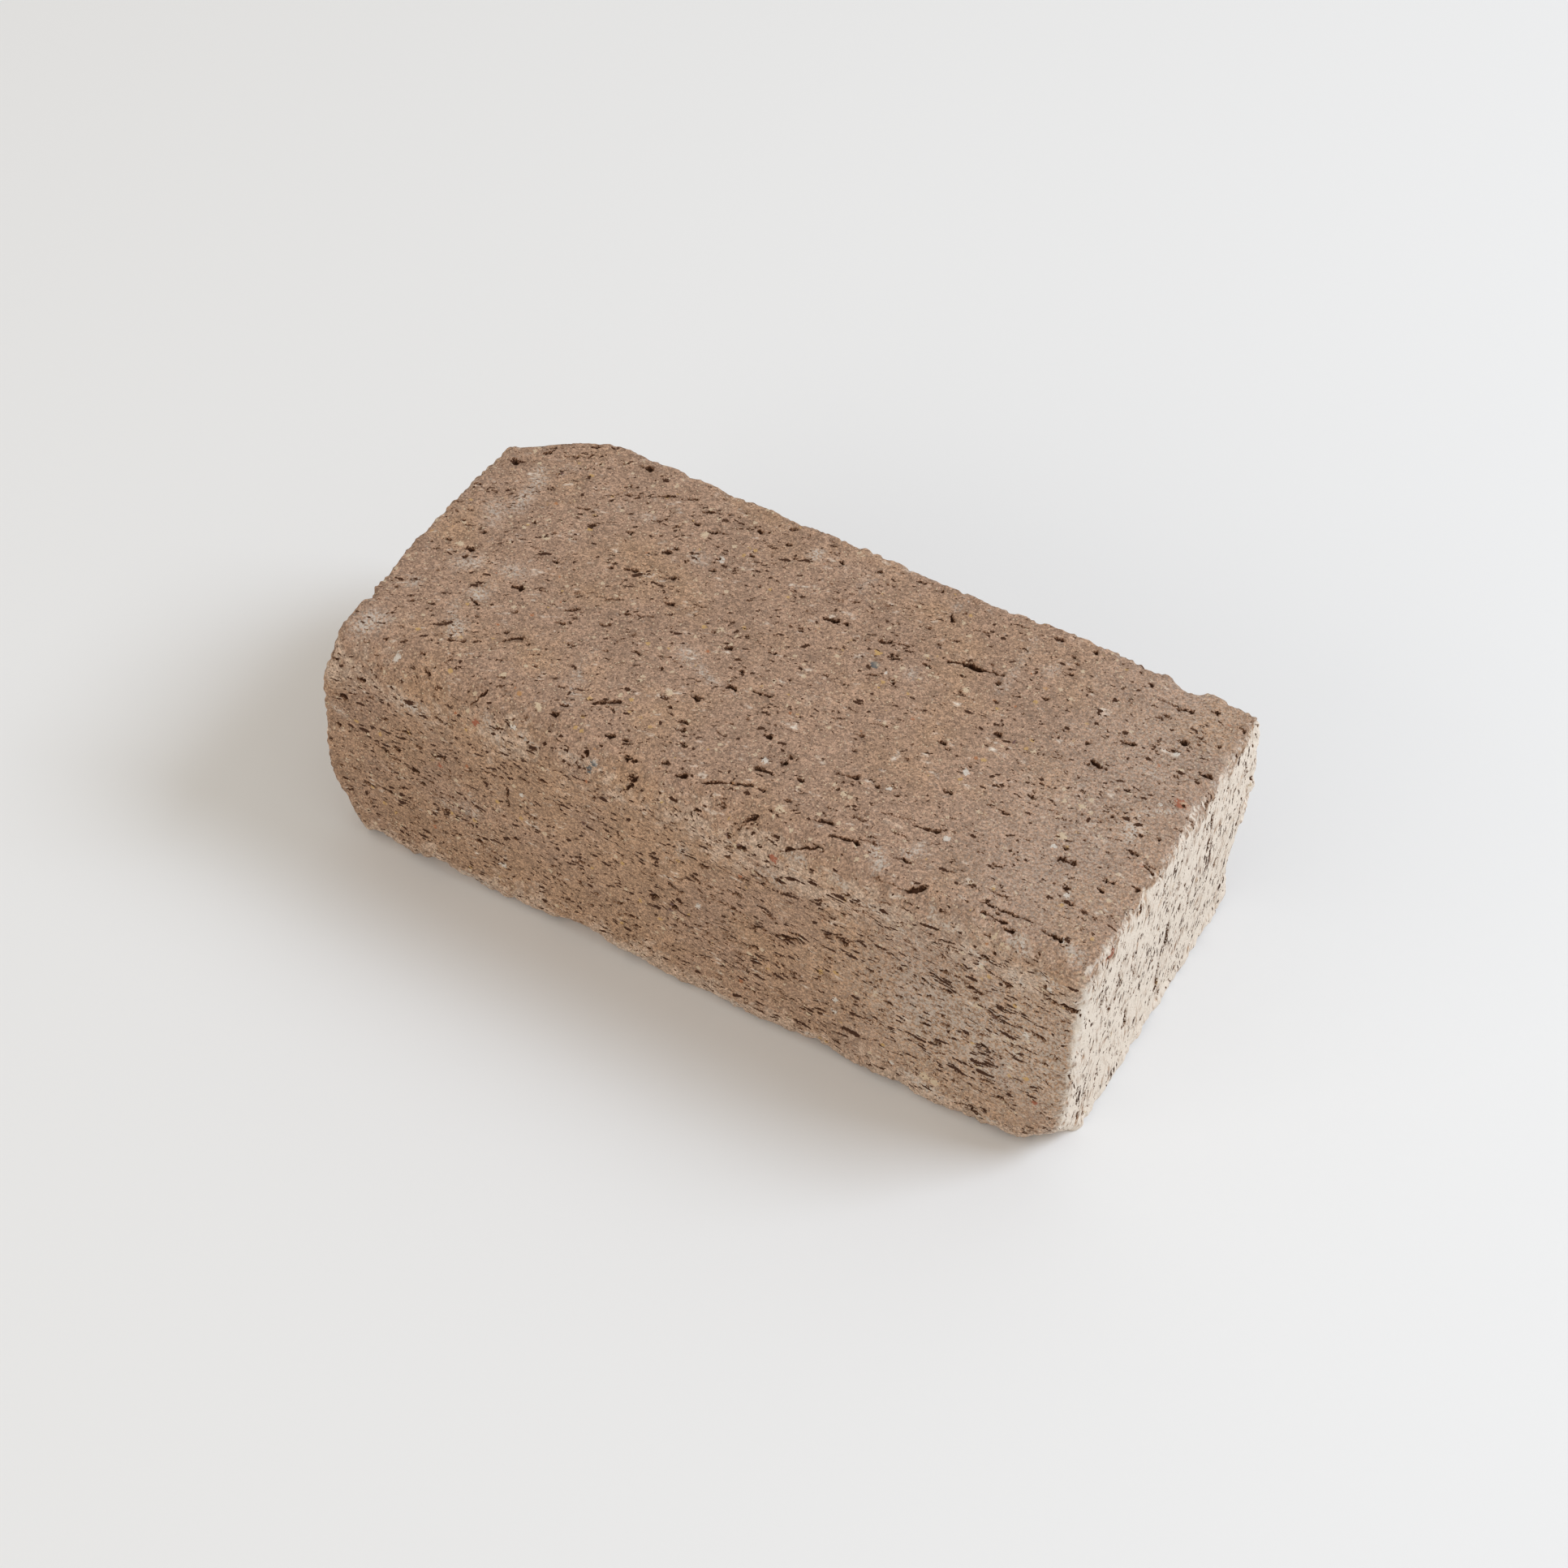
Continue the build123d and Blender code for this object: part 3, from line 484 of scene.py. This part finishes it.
# Dust that has settled on the top and front: face, line, reach and share
dust_marks = (
    (top_face, -101, 32, -101, 31, 1.6, 0.9), (top_face, -98.5, 29, -98, 14, 1.8, 0.7),
    (top_face, -94.8, 35.6, -92.7, 38.9, 0.7, 0.8), (top_face, -103, 12, -101, 8, 2.4, 0.6),
    (top_face, -68, 29.3, -63.5, 31.8, 0.9, 0.8), (top_face, -75, 30.5, -73, 30.8, 1.2, 0.5),
    (top_face, -45, 24.5, -43.6, 22.8, 1.4, 0.7), (top_face, -17.2, 44.6, -17, 42, 1.4, 0.9),
    (top_face, 0.6, 43, 0.6, 37, 0.6, 0.6), (top_face, 25.5, 48, 25.7, 45.5, 0.9, 0.7),
    (top_face, 27.5, 17, 28, 15.5, 1.4, 0.7), (top_face, 50.3, 46, 50.5, 20, 0.6, 0.5),
    (top_face, 59.7, 37.8, 60.3, 37.8, 1.1, 0.8), (top_face, 95, 17.2, 101.5, 17.4, 1.0, 0.8),
    (top_face, 102.3, 2.7, 110.3, 8.5, 0.9, 0.9), (top_face, -87.2, -20.7, -86.6, -20.2, 2.1, 1.0),
    (top_face, -86, -8, -82, -6.8, 2.4, 0.6), (top_face, -28, -9.4, -25, -10.2, 1.8, 0.7),
    (top_face, -20.5, -13.4, -14.4, -15.3, 0.9, 1.0), (top_face, 102, -2.5, 103.5, -6.5, 2.6, 0.9),
    (top_face, 60.5, -37.7, 58, -42, 1.4, 0.8), (top_face, 50.5, -44.8, 53.8, -49, 1.8, 0.8),
    (top_face, 98.6, -6, 98.4, -24, 0.8, 0.5), (top_face, 93, -51, 97, -53, 2.0, 0.8),
    (top_face, -85.6, -33.5, -84, -36, 2.2, 0.9), (top_face, -105, -42.3, -107, -45.7, 3.0, 0.8),
    (top_face, -49.3, -24, -47.2, -32.3, 0.5, 0.7), (top_face, -47.2, -32.3, -43.6, -43.2, 0.6, 0.9),
    (top_face, -98.5, -12.7, -95, -9.8, 2.2, 0.7), (top_face, -105.6, -24, -104.6, -26, 1.4, 0.7),
    (top_face, -90, -27, -89, -31, 0.8, 0.7), (top_face, -87, -16, -86.5, -15.4, 1.2, 0.6),
    (top_face, 107, -48, 110, -50, 2.2, 0.7), (top_face, 85, 4, 84.6, 1.6, 0.9, 0.6),
    (front_face, 78, 38, 112, 40, 26.0, 0.55), (top_face, 92, -30, 100, 40, 26.0, 0.28),
    (front_face, 88, 27, 96, 24, 4.0, 0.6), (front_face, 75, 38, 76, 33, 2.4, 0.6),
    (front_face, 68, 54, 66, 52, 1.6, 0.6), (front_face, 92, 57, 95.5, 57.4, 1.0, 0.8),
    (front_face, 110, 33, 113, 36, 2.4, 0.6), (front_face, 111.5, 50, 112, 48, 1.6, 0.7),
    (front_face, -88, 63, -83, 62.6, 1.8, 0.8), (front_face, -63, 69, -57, 63, 1.6, 0.5),
    (front_face, 30, 60, 24, 61.5, 1.6, 0.7), (front_face, 0, 57.5, -1, 53, 1.2, 0.6),
    (front_face, 71, 73, 71.5, 69, 1.2, 0.8), (front_face, -69, 31.8, -66, 31.2, 1.4, 0.7),
    (front_face, -77, 30.4, -74, 30, 1.2, 0.6), (front_face, -111, 49.5, -109, 48.5, 1.2, 0.7),
    (front_face, 30, 71, 35, 70.6, 0.9, 0.8), (front_face, 44, 70, 47, 69, 0.8, 0.9),
    (front_face, 52, 67, 60, 65.6, 0.8, 0.9), (front_face, 64, 63, 70, 61, 0.7, 0.9),
    (front_face, 75, 71, 79, 71.6, 1.2, 0.8), (front_face, 82, 68, 88, 66, 1.0, 1.0),
    (front_face, 95, 66, 99, 64, 0.8, 1.0), (front_face, 103, 70, 108, 69, 1.3, 0.8),
    (front_face, -52, 69, -46, 67.6, 0.8, 0.6), (front_face, -38, 70, -33, 69.4, 0.7, 0.5),
    (front_face, -70, 5, -63, 4, 1.4, 0.8), (front_face, -20, 4, -10, 4.4, 1.1, 0.8),
    (front_face, 12, 4, 18, 3.4, 1.2, 0.8), (front_face, 40, 5, 44, 4, 1.4, 0.8),
    (front_face, 70, 9, 80, 7, 1.6, 0.9), (front_face, 92, 5, 97, 5, 1.2, 0.8),
)
for face, start_u, start_v, end_u, end_v, reach, share in dust_marks:
    face.dusting((start_u, start_v), (end_u, end_v), reach, share)

# The many small pores between them, drawn out the way that the wire or the column went over each face
long_low, long_high = (-113, -54), (113, 54)
side_low, side_high = (-113, 3), (113, 74)
end_low, end_high = (-54, 3), (54, 74)
scatter(top_face, 20, 330, long_low, long_high, (0.2, 1.0), (0.24, 0.46), fanned)
scatter(bed_face, 21, 260, long_low, long_high, (0.2, 1.4), (0.3, 0.9), fanned)
for face, seed in ((front_face, 30), (back_face, 33)):
    scatter(face, seed, 150, side_low, side_high, (0.2, 0.8), (0.25, 0.45), lengthwise)
    scatter(face, seed + 1, 210, (0, 9), (112, 66), (0.7, 1.7), (0.22, 0.38), lengthwise)
    scatter(face, seed + 2, 70, (-112, 9), (0, 68), (0.5, 1.5), (0.25, 0.5), lengthwise)
for face, seed in ((right_end, 40), (left_end, 43)):
    scatter(face, seed, 190, end_low, end_high, (0.3, 1.2), (0.25, 0.5), upright)
    scatter(face, seed + 1, 70, end_low, end_high, (0.8, 3.0), (0.22, 0.36), upright)
scatter(back_face, 46, 60, side_low, side_high, (0.4, 1.2), (0.5, 1.0), lengthwise)
scatter(left_end, 47, 30, end_low, end_high, (0.4, 1.2), (0.5, 1.0), upright)

stone_lift = 0.16
points += normals * (rise + stone_lift * np.minimum(stone_share, 1) - sunk)[:, None]
points[:, 2] = np.maximum(points[:, 2], 0)
paver.data.vertices.foreach_set("co", (points * mm).astype(np.float32).ravel())

# A film of lime on the right end, thickest on its arrises, with a thinner one guessed on the left end. On
# the right end the pale film is also painted light, where the window falls full on that end.
end_facing = np.clip((normals[:, 0] - 0.25) / 0.5, 0, 1)
left_facing = np.clip((-normals[:, 0] - 0.25) / 0.5, 0, 1)
from_right = right - points[:, 0]
from_front = points[:, 1] - front
top_rim_reach, front_rim_reach = 5.5, 4
top_rim_share, front_rim_share = 0.55, 0.35
right_lime_and_light_share, left_lime_share = 0.85, 0.3
corner_reach, white_height, white_reach, lime_arris_reach = 9, 60, 13, 2.6
top_rim = np.exp(-(((top - points[:, 2]) / top_rim_reach) ** 2))
front_rim = np.exp(-((from_front / front_rim_reach) ** 2))
rim_wear = 1 - top_rim_share * top_rim - front_rim_share * front_rim
lime_and_light = np.maximum(right_lime_and_light_share * end_facing, left_lime_share * left_facing) * rim_wear
whiter = 0.6 + 0.8 * np.exp(-(((points[:, 2] - white_height) / white_reach) ** 2))
near_corner = np.exp(-((from_front / corner_reach) ** 2)) * whiter
lime_arris = arris * np.exp(-((from_right / lime_arris_reach) ** 2)) * (0.5 + 0.5 * near_corner)

# The way that the pores are drawn: a place on the skin, squeezed along the wire's or the column's way
x, y, z = points.T
top_stretch, left_stretch, right_stretch, end_stretch = 1.7, 1.5, 2.6, 2.7
side_squeeze, end_squeeze, side_sway = 1.6, 1.5, 1.4
fan_slope, fan_bend = 0.249, 0.00122
squarely_facing = 0.6
drawn = np.stack((x / top_stretch, y - fan_slope * x + fan_bend * x * x, z), axis=1)
sideways = np.abs(normals[:, 1]) > squarely_facing
along_side = np.where(x < 0, x / left_stretch, x / right_stretch)
up_side = side_squeeze * z + side_sway * np.sin(x / sway_length + z / sway_rise)
drawn[sideways] = np.stack((along_side, y, up_side), axis=1)[sideways]
endways = np.abs(normals[:, 0]) > squarely_facing
drawn[endways] = np.stack((x, end_squeeze * y, z / end_stretch), axis=1)[endways]

# How full of small pores the skin is: the most on the right half of the front and on the ends
top_pores, left_side_pores, right_side_more, end_pores, arris_fewer = 0.90, 1.18, 0.16, 1.25, 0.35
turn_start, turn_length = -15, 30
rightward = np.clip((x - turn_start) / turn_length, 0, 1)
porous = np.full(point_count, top_pores)
porous[sideways] = left_side_pores + right_side_more * rightward[sideways]
porous[endways] = end_pores
porous *= 1 - arris_fewer * arris

# Wear shows pale along the foot of the sides and on every sharp edge; the band near the top of the sides is
# pale partly from wear and partly as painted light, the upper sides lit more than the lower
side_facing = np.clip((np.abs(normals[:, 1]) - 0.35) / 0.4, 0, 1)
band_height, band_reach, foot_reach = 65, 8, 11
left_shade_start, left_shade_length, left_shade_height = -35, 60, 110
high_wear_and_light_band = np.exp(-(((z - band_height) / band_reach) ** 2))
foot_band = np.exp(-((z / foot_reach) ** 2))
left_band_share, right_band_more, foot_share, arris_share = 0.52, 0.23, 0.9, 0.25
high_share = left_band_share + right_band_more * rightward
wear_and_light = side_facing * np.maximum(high_share * high_wear_and_light_band, foot_share * foot_band) + arris_share * arris**2
# Painted shade: the sides are darkened towards their left end, more so low down, where the window's light
# reaches them least
painted_left_shade = side_facing * np.clip((left_shade_start - x) / left_shade_length, 0, 1) * (1 - z / left_shade_height)


def mark(name, kind, values):
    """Writes a value for each skin point, which the clay's material reads by name."""
    field = {"FLOAT": "value", "FLOAT_VECTOR": "vector", "FLOAT_COLOR": "color"}[kind]
    layer = paver.data.attributes.new(name, kind, "POINT")
    layer.data.foreach_set(field, np.ascontiguousarray(values, np.float32).ravel())


mark("inside_pore", "FLOAT", inside_pore)
mark("wear_and_light", "FLOAT", wear_and_light)
mark("painted_left_shade", "FLOAT", painted_left_shade)
mark("flat", "FLOAT", np.abs(normals[:, 2]))
mark("dust", "FLOAT", dust)
mark("lime_and_light", "FLOAT", lime_and_light)
mark("lime_arris", "FLOAT", lime_arris)
mark("porous", "FLOAT", porous)
mark("stone_share", "FLOAT", stone_share)
mark("stone_colour", "FLOAT_COLOR", stone_colour)
mark("drawn", "FLOAT_VECTOR", drawn)
thinned = paver.modifiers.new("thinned skin", "DECIMATE")
thinned.ratio = min(1, triangle_budget / (2 * len(paver.data.polygons)))
settle(paver)
for vertex in paver.data.vertices:
    vertex.co.z = max(vertex.co.z, 0)
paver.data.shade_smooth()

clay = bpy.data.materials.new("fired_clay")
clay.use_nodes = True
clay_nodes, clay_links = clay.node_tree.nodes, clay.node_tree.links
clay_shader = clay_nodes["Principled BSDF"]


def clay_node(kind, inputs, **settings):
    """Adds a node to the clay's material; an input is a plain value or another node's output."""
    node = clay_nodes.new(kind)
    for name, value in settings.items():
        setattr(node, name, value)
    for name, value in inputs.items():
        if isinstance(value, bpy.types.NodeSocket):
            clay_links.new(value, node.inputs[name])
        else:
            node.inputs[name].default_value = value
    return node


def marked(name, output="Fac"):
    """A value that the skin carries."""
    return clay_node("ShaderNodeAttribute", {}, attribute_name=name).outputs[output]


skin = clay_node(
    "ShaderNodeVectorMath",
    {0: clay_node("ShaderNodeTexCoord", {}).outputs["Object"], "Scale": 1 / mm},
    operation="SCALE",
).outputs[0]


def cloud(size, detail=2.0, where=skin):
    """Soft noise from 0 to 1 with the given size in millimetres."""
    inputs = {"Vector": where, "Scale": 1 / size, "Detail": detail}
    return clay_node("ShaderNodeTexNoise", inputs).outputs["Fac"]


def grains(size, where=skin):
    """Packed grains of a size in millimetres: two random numbers each, and the distance from the middle."""
    packed = clay_node("ShaderNodeTexVoronoi", {"Vector": where, "Scale": 1 / size})
    split = clay_node("ShaderNodeSeparateColor", {0: packed.outputs["Color"]})
    return split.outputs[0], split.outputs[1], packed.outputs["Distance"]


def maths(operation, first, second):
    return clay_node("ShaderNodeMath", {0: first, 1: second}, operation=operation).outputs[0]


def between(value, low, high, least=0.0, most=1.0):
    """Runs smoothly from least to most as a value goes from low to high."""
    limits = {"From Min": low, "From Max": high, "To Min": least, "To Max": most}
    node = clay_node("ShaderNodeMapRange", {"Value": value, **limits}, interpolation_type="SMOOTHSTEP")
    return node.outputs["Result"]


def blend(share, under, over, way="MIX"):
    """One colour laid over another by a share from 0 to 1."""
    inputs = {0: share, 6: under, 7: over}
    return clay_node("ShaderNodeMix", inputs, data_type="RGBA", blend_type=way).outputs[2]


# The clay itself: mauve on the flat faces and tan on the sides in clouds, and paler where it is worn and in
# the painted light of the band high on the sides
tan = (0.378, 0.242, 0.156, 1)
mauve = (0.352, 0.231, 0.163, 1)
brown = (0.256, 0.157, 0.101, 1)
worn_and_lit = (0.505, 0.380, 0.292, 1)
fine_break = cloud(0.5, 4.0)
wear_and_light = marked("wear_and_light")
tone = maths("ADD", cloud(24, 3.0), maths("MULTIPLY", marked("flat"), 0.15))
colour = blend(between(tone, 0.42, 0.70), tan, mauve)
colour = blend(between(cloud(5, 4.0), 0.45, 0.75, 0.0, 0.30), colour, brown)
# Painted shade: browner towards the left end of the sides, more so low down
colour = blend(maths("MULTIPLY", marked("painted_left_shade"), 0.45), colour, brown)
colour = blend(1.0, colour, between(cloud(14, 3.0), 0.3, 0.7, 0.94, 1.06), "MULTIPLY")
wear_and_light_gaps = maths("ADD", cloud(2.6, 5.0), maths("MULTIPLY", cloud(13, 2.0), 0.8))
wear_and_light_break = maths("ADD", wear_and_light, maths("MULTIPLY", maths("SUBTRACT", wear_and_light_gaps, 0.9), 1.9))
# Pale from wear, and in the band high on the sides partly painted light
colour = blend(between(wear_and_light_break, 0.30, 0.90, 0.0, 0.80), colour, worn_and_lit)

# Sand of every shade, with cream, dark, ochre and red grains in it
dark_grain = (0.100, 0.052, 0.032, 1)
sand_grain, silt_grain, grit_grain = 0.62, 0.36, 1.9
sand_shade, sand_kind, sand_middle = grains(sand_grain)
silt_shade, _, _ = grains(silt_grain)
colour = blend(1.0, colour, between(sand_shade, 0.0, 1.0, 0.75, 1.25), "MULTIPLY")
colour = blend(1.0, colour, between(silt_shade, 0.0, 1.0, 0.72, 1.28), "MULTIPLY")
richer = maths("ADD", sand_kind, maths("MULTIPLY", wear_and_light, 0.03))
sand_core = between(maths("ADD", sand_middle, maths("MULTIPLY", fine_break, 0.6)), 0.75, 0.60)
colour = blend(maths("MULTIPLY", sand_core, between(richer, 0.935, 0.945, 0.0, 0.85)), colour, cream)
colour = blend(maths("MULTIPLY", sand_core, between(sand_kind, 0.060, 0.050, 0.0, 0.9)), colour, dark_grain)
grit_shade, grit_kind, grit_middle = grains(grit_grain)
grit_size = between(grit_kind, 0.0, 1.0, 0.12, 0.42)
grit_gap = maths("ADD", grit_middle, maths("MULTIPLY", maths("SUBTRACT", fine_break, 0.5), 0.9))
grit_core = between(maths("SUBTRACT", grit_size, grit_gap), 0.0, 0.1, 0.0, 0.8)
colour = blend(maths("MULTIPLY", grit_core, between(grit_shade, 0.905, 0.910)), colour, cream)
colour = blend(maths("MULTIPLY", grit_core, between(grit_shade, 0.045, 0.040)), colour, ochre)
colour = blend(maths("MULTIPLY", grit_core, between(grit_shade, 0.010, 0.006)), colour, brick_red)

# Dust, lime and stones lie over it, and on the right end the pale lime also stands for painted light
dust_colour = (0.580, 0.525, 0.465, 1)
dust_break = maths("MULTIPLY", marked("dust"), between(cloud(0.8, 5.0), 0.42, 0.58, 0.05, 1.0))
colour = blend(dust_break, colour, dust_colour)
lime_and_light_colour = (0.805, 0.718, 0.620, 1)
white_lime = (0.74, 0.67, 0.59, 1)
drawn = marked("drawn", "Vector")
lime_and_light_gaps = maths("ADD", cloud(1.6, 5.0, drawn), maths("MULTIPLY", cloud(7, 3.0), 0.6))
lime_and_light_break = maths("ADD", marked("lime_and_light"), maths("MULTIPLY", maths("SUBTRACT", lime_and_light_gaps, 0.8), 2.0))
# Painted light: the pale film on the right end is partly lime and partly the window's light on that end
colour = blend(between(lime_and_light_break, 0.25, 0.85, 0.0, 0.95), colour, lime_and_light_colour)
white_gaps = maths("MULTIPLY", maths("SUBTRACT", cloud(2.0, 5.0), 0.5), 3.0)
white_break = maths("ADD", marked("lime_arris"), white_gaps)
colour = blend(between(white_break, 0.50, 1.10, 0.0, 0.7), colour, white_lime)
stone_gap = maths("MULTIPLY", maths("SUBTRACT", fine_break, 0.5), 1.8)
stone_edge = maths("ADD", marked("stone_share"), stone_gap)
colour = blend(between(stone_edge, 0.45, 0.70, 0.0, 0.9), colour, marked("stone_colour", "Color"))


# Pinholes and short dashes too fine for the mesh, and the dark inside of the pores and tears, which is
# partly dirt and partly painted shade in the hollows
def moved(where, size, detail, amount):
    """A place moved about by noise of a size and an amount in millimetres."""
    noise = clay_node("ShaderNodeTexNoise", {"Vector": skin, "Scale": 1 / size, "Detail": detail})
    inputs = {0: noise.outputs["Color"], 1: (amount,) * 3, 2: where}
    return clay_node("ShaderNodeVectorMath", inputs, operation="MULTIPLY_ADD").outputs[0]


swayed = moved(moved(drawn, size=0.9, detail=3.0, amount=1.3), size=7, detail=1.0, amount=5.0)
crowded = between(cloud(8, 3.0), 0.35, 0.65, 0.65, 1.2)
porous = maths("MULTIPLY", marked("porous"), crowded)
coarse_break = maths("MULTIPLY", maths("SUBTRACT", cloud(1.1), 0.5), 0.4)
raggedness = maths("ADD", maths("MULTIPLY", maths("SUBTRACT", fine_break, 0.5), 0.9), coarse_break)


def pinholes(spacing, rarity, widest):
    """How many millimetres inside a small, drawn-out hole a place is, for holes of many widths."""
    kind, _, middle = grains(spacing, swayed)
    reach = maths("MULTIPLY", between(kind, rarity, 1.0, 0.0, widest), porous)
    return maths("SUBTRACT", maths("ADD", reach, raggedness), maths("MULTIPLY", middle, spacing))


wide_holes = pinholes(spacing=2.6, rarity=0.35, widest=0.78)
fine_holes = pinholes(spacing=1.3, rarity=0.35, widest=0.48)
small_pores = maths("MAXIMUM", wide_holes, fine_holes)
torn_edge = maths("ADD", marked("inside_pore"), maths("MULTIPLY", raggedness, 1.3))
inside = maths("MAXIMUM", small_pores, torn_edge)
shallow_pore_shade = (0.190, 0.092, 0.046, 1)
deep_pore_shade = (0.052, 0.019, 0.007, 1)
# Painted shade, with some dirt: the pores and tears darken from their rim towards their depth
colour = blend(between(inside, -0.08, 0.10), colour, shallow_pore_shade)
colour = blend(between(inside, 0.07, 0.22), colour, deep_pore_shade)
clay_links.new(colour, clay_shader.inputs["Base Color"])

# Sandy relief in millimetres, finer than the mesh
sand_relief = maths("MULTIPLY", sand_middle, -0.20)
lump_relief = maths("MULTIPLY", cloud(0.9, 4.0), 0.30)
relief = maths("SUBTRACT", maths("ADD", sand_relief, lump_relief), between(small_pores, 0.0, 0.25, 0.0, 0.5))
sandy = clay_node("ShaderNodeBump", {"Height": relief, "Distance": mm, "Strength": 0.8})
clay_links.new(sandy.outputs["Normal"], clay_shader.inputs["Normal"])
clay_links.new(between(fine_break, 0.3, 0.7, 0.88, 0.97), clay_shader.inputs["Roughness"])
clay_shader.inputs["Specular IOR Level"].default_value = 0.3
paver.data.materials.clear()
paver.data.materials.append(clay)

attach(paver, "root")
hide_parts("paver")

# The floor
# A wide sheet of matt off-white board that the paver lies on. It runs out past every edge of the picture.

floor_reach = 6.0
floor_mesh = bpy.data.meshes.new("floor")
floor_corners = [(x * floor_reach, y * floor_reach, 0) for x, y in ((-1, -1), (1, -1), (1, 1), (-1, 1))]
floor_mesh.from_pydata(floor_corners, [], [(0, 1, 2, 3)])
floor = bpy.data.objects.new("floor", floor_mesh)
bpy.context.scene.collection.objects.link(floor)
board = bpy.data.materials.new("matt_board")
board.use_nodes = True
board.node_tree.nodes["Principled BSDF"].inputs["Base Color"].default_value = (0.82, 0.835, 0.85, 1)
board.node_tree.nodes["Principled BSDF"].inputs["Roughness"].default_value = 0.9
floor_mesh.materials.append(board)

# The light
# A soft window on the right, a little behind the paver, a dim pale wall on the left, and a pale room around.


def soft_lamp(name, azimuth, elevation, distance, size, watts, tint):
    """A square lamp that looks at the origin from an azimuth, from +X towards +Y, and an elevation."""
    light = bpy.data.lights.new(name, "AREA")
    light.size = size
    light.energy = watts
    light.color = tint
    lamp = bpy.data.objects.new(name, light)
    turn, tilt = math.radians(azimuth), math.radians(elevation)
    place = Vector((math.cos(turn) * math.cos(tilt), math.sin(turn) * math.cos(tilt), math.sin(tilt)))
    lamp.location = place * distance
    lamp.rotation_euler = place.to_track_quat("Z", "Y").to_euler()
    bpy.context.scene.collection.objects.link(lamp)


cool_daylight = (0.81, 0.89, 1.0)
warm_bounce = (1.0, 0.93, 0.838)
soft_lamp("window", azimuth=28, elevation=46, distance=2.2, size=0.95, watts=27.2, tint=cool_daylight)
soft_lamp("pale_wall", azimuth=252, elevation=15, distance=2.2, size=1.8, watts=13.2, tint=warm_bounce)
room = bpy.data.worlds.new("pale_room")
room.use_nodes = True
room.node_tree.nodes["Background"].inputs["Color"].default_value = (*warm_bounce, 1)
room.node_tree.nodes["Background"].inputs["Strength"].default_value = 0.63
bpy.context.scene.world = room
bpy.context.scene.view_settings.view_transform = "Standard"

# The camera
# It stands in front of the paver, to the right, and looks down on it.

view_azimuth, view_elevation, view_roll = (math.radians(angle) for angle in (27.496, 46.495, 3.456))
view_distance = 0.882676
view_centre_right, view_centre_up = -0.000998, -0.021761
picture_pixels, focal_pixels = 1932, 3811.0

away = Vector(
    (
        math.sin(view_azimuth) * math.cos(view_elevation),
        -math.cos(view_azimuth) * math.cos(view_elevation),
        math.sin(view_elevation),
    )
)
level_right = Vector((0, 0, 1)).cross(away).normalized()
level_up = away.cross(level_right)
picture_right = level_right * math.cos(view_roll) + level_up * math.sin(view_roll)
picture_up = level_up * math.cos(view_roll) - level_right * math.sin(view_roll)
camera_data = bpy.data.cameras.new("camera")
camera_data.sensor_width = 36.0
camera_data.lens = focal_pixels / picture_pixels * camera_data.sensor_width
camera = bpy.data.objects.new("camera", camera_data)
bpy.context.scene.collection.objects.link(camera)
stand = away * view_distance - picture_right * view_centre_right - picture_up * view_centre_up
facing = Matrix((picture_right, picture_up, away)).transposed().to_4x4()
camera.matrix_world = Matrix.Translation(stand) @ facing
bpy.context.scene.camera = camera
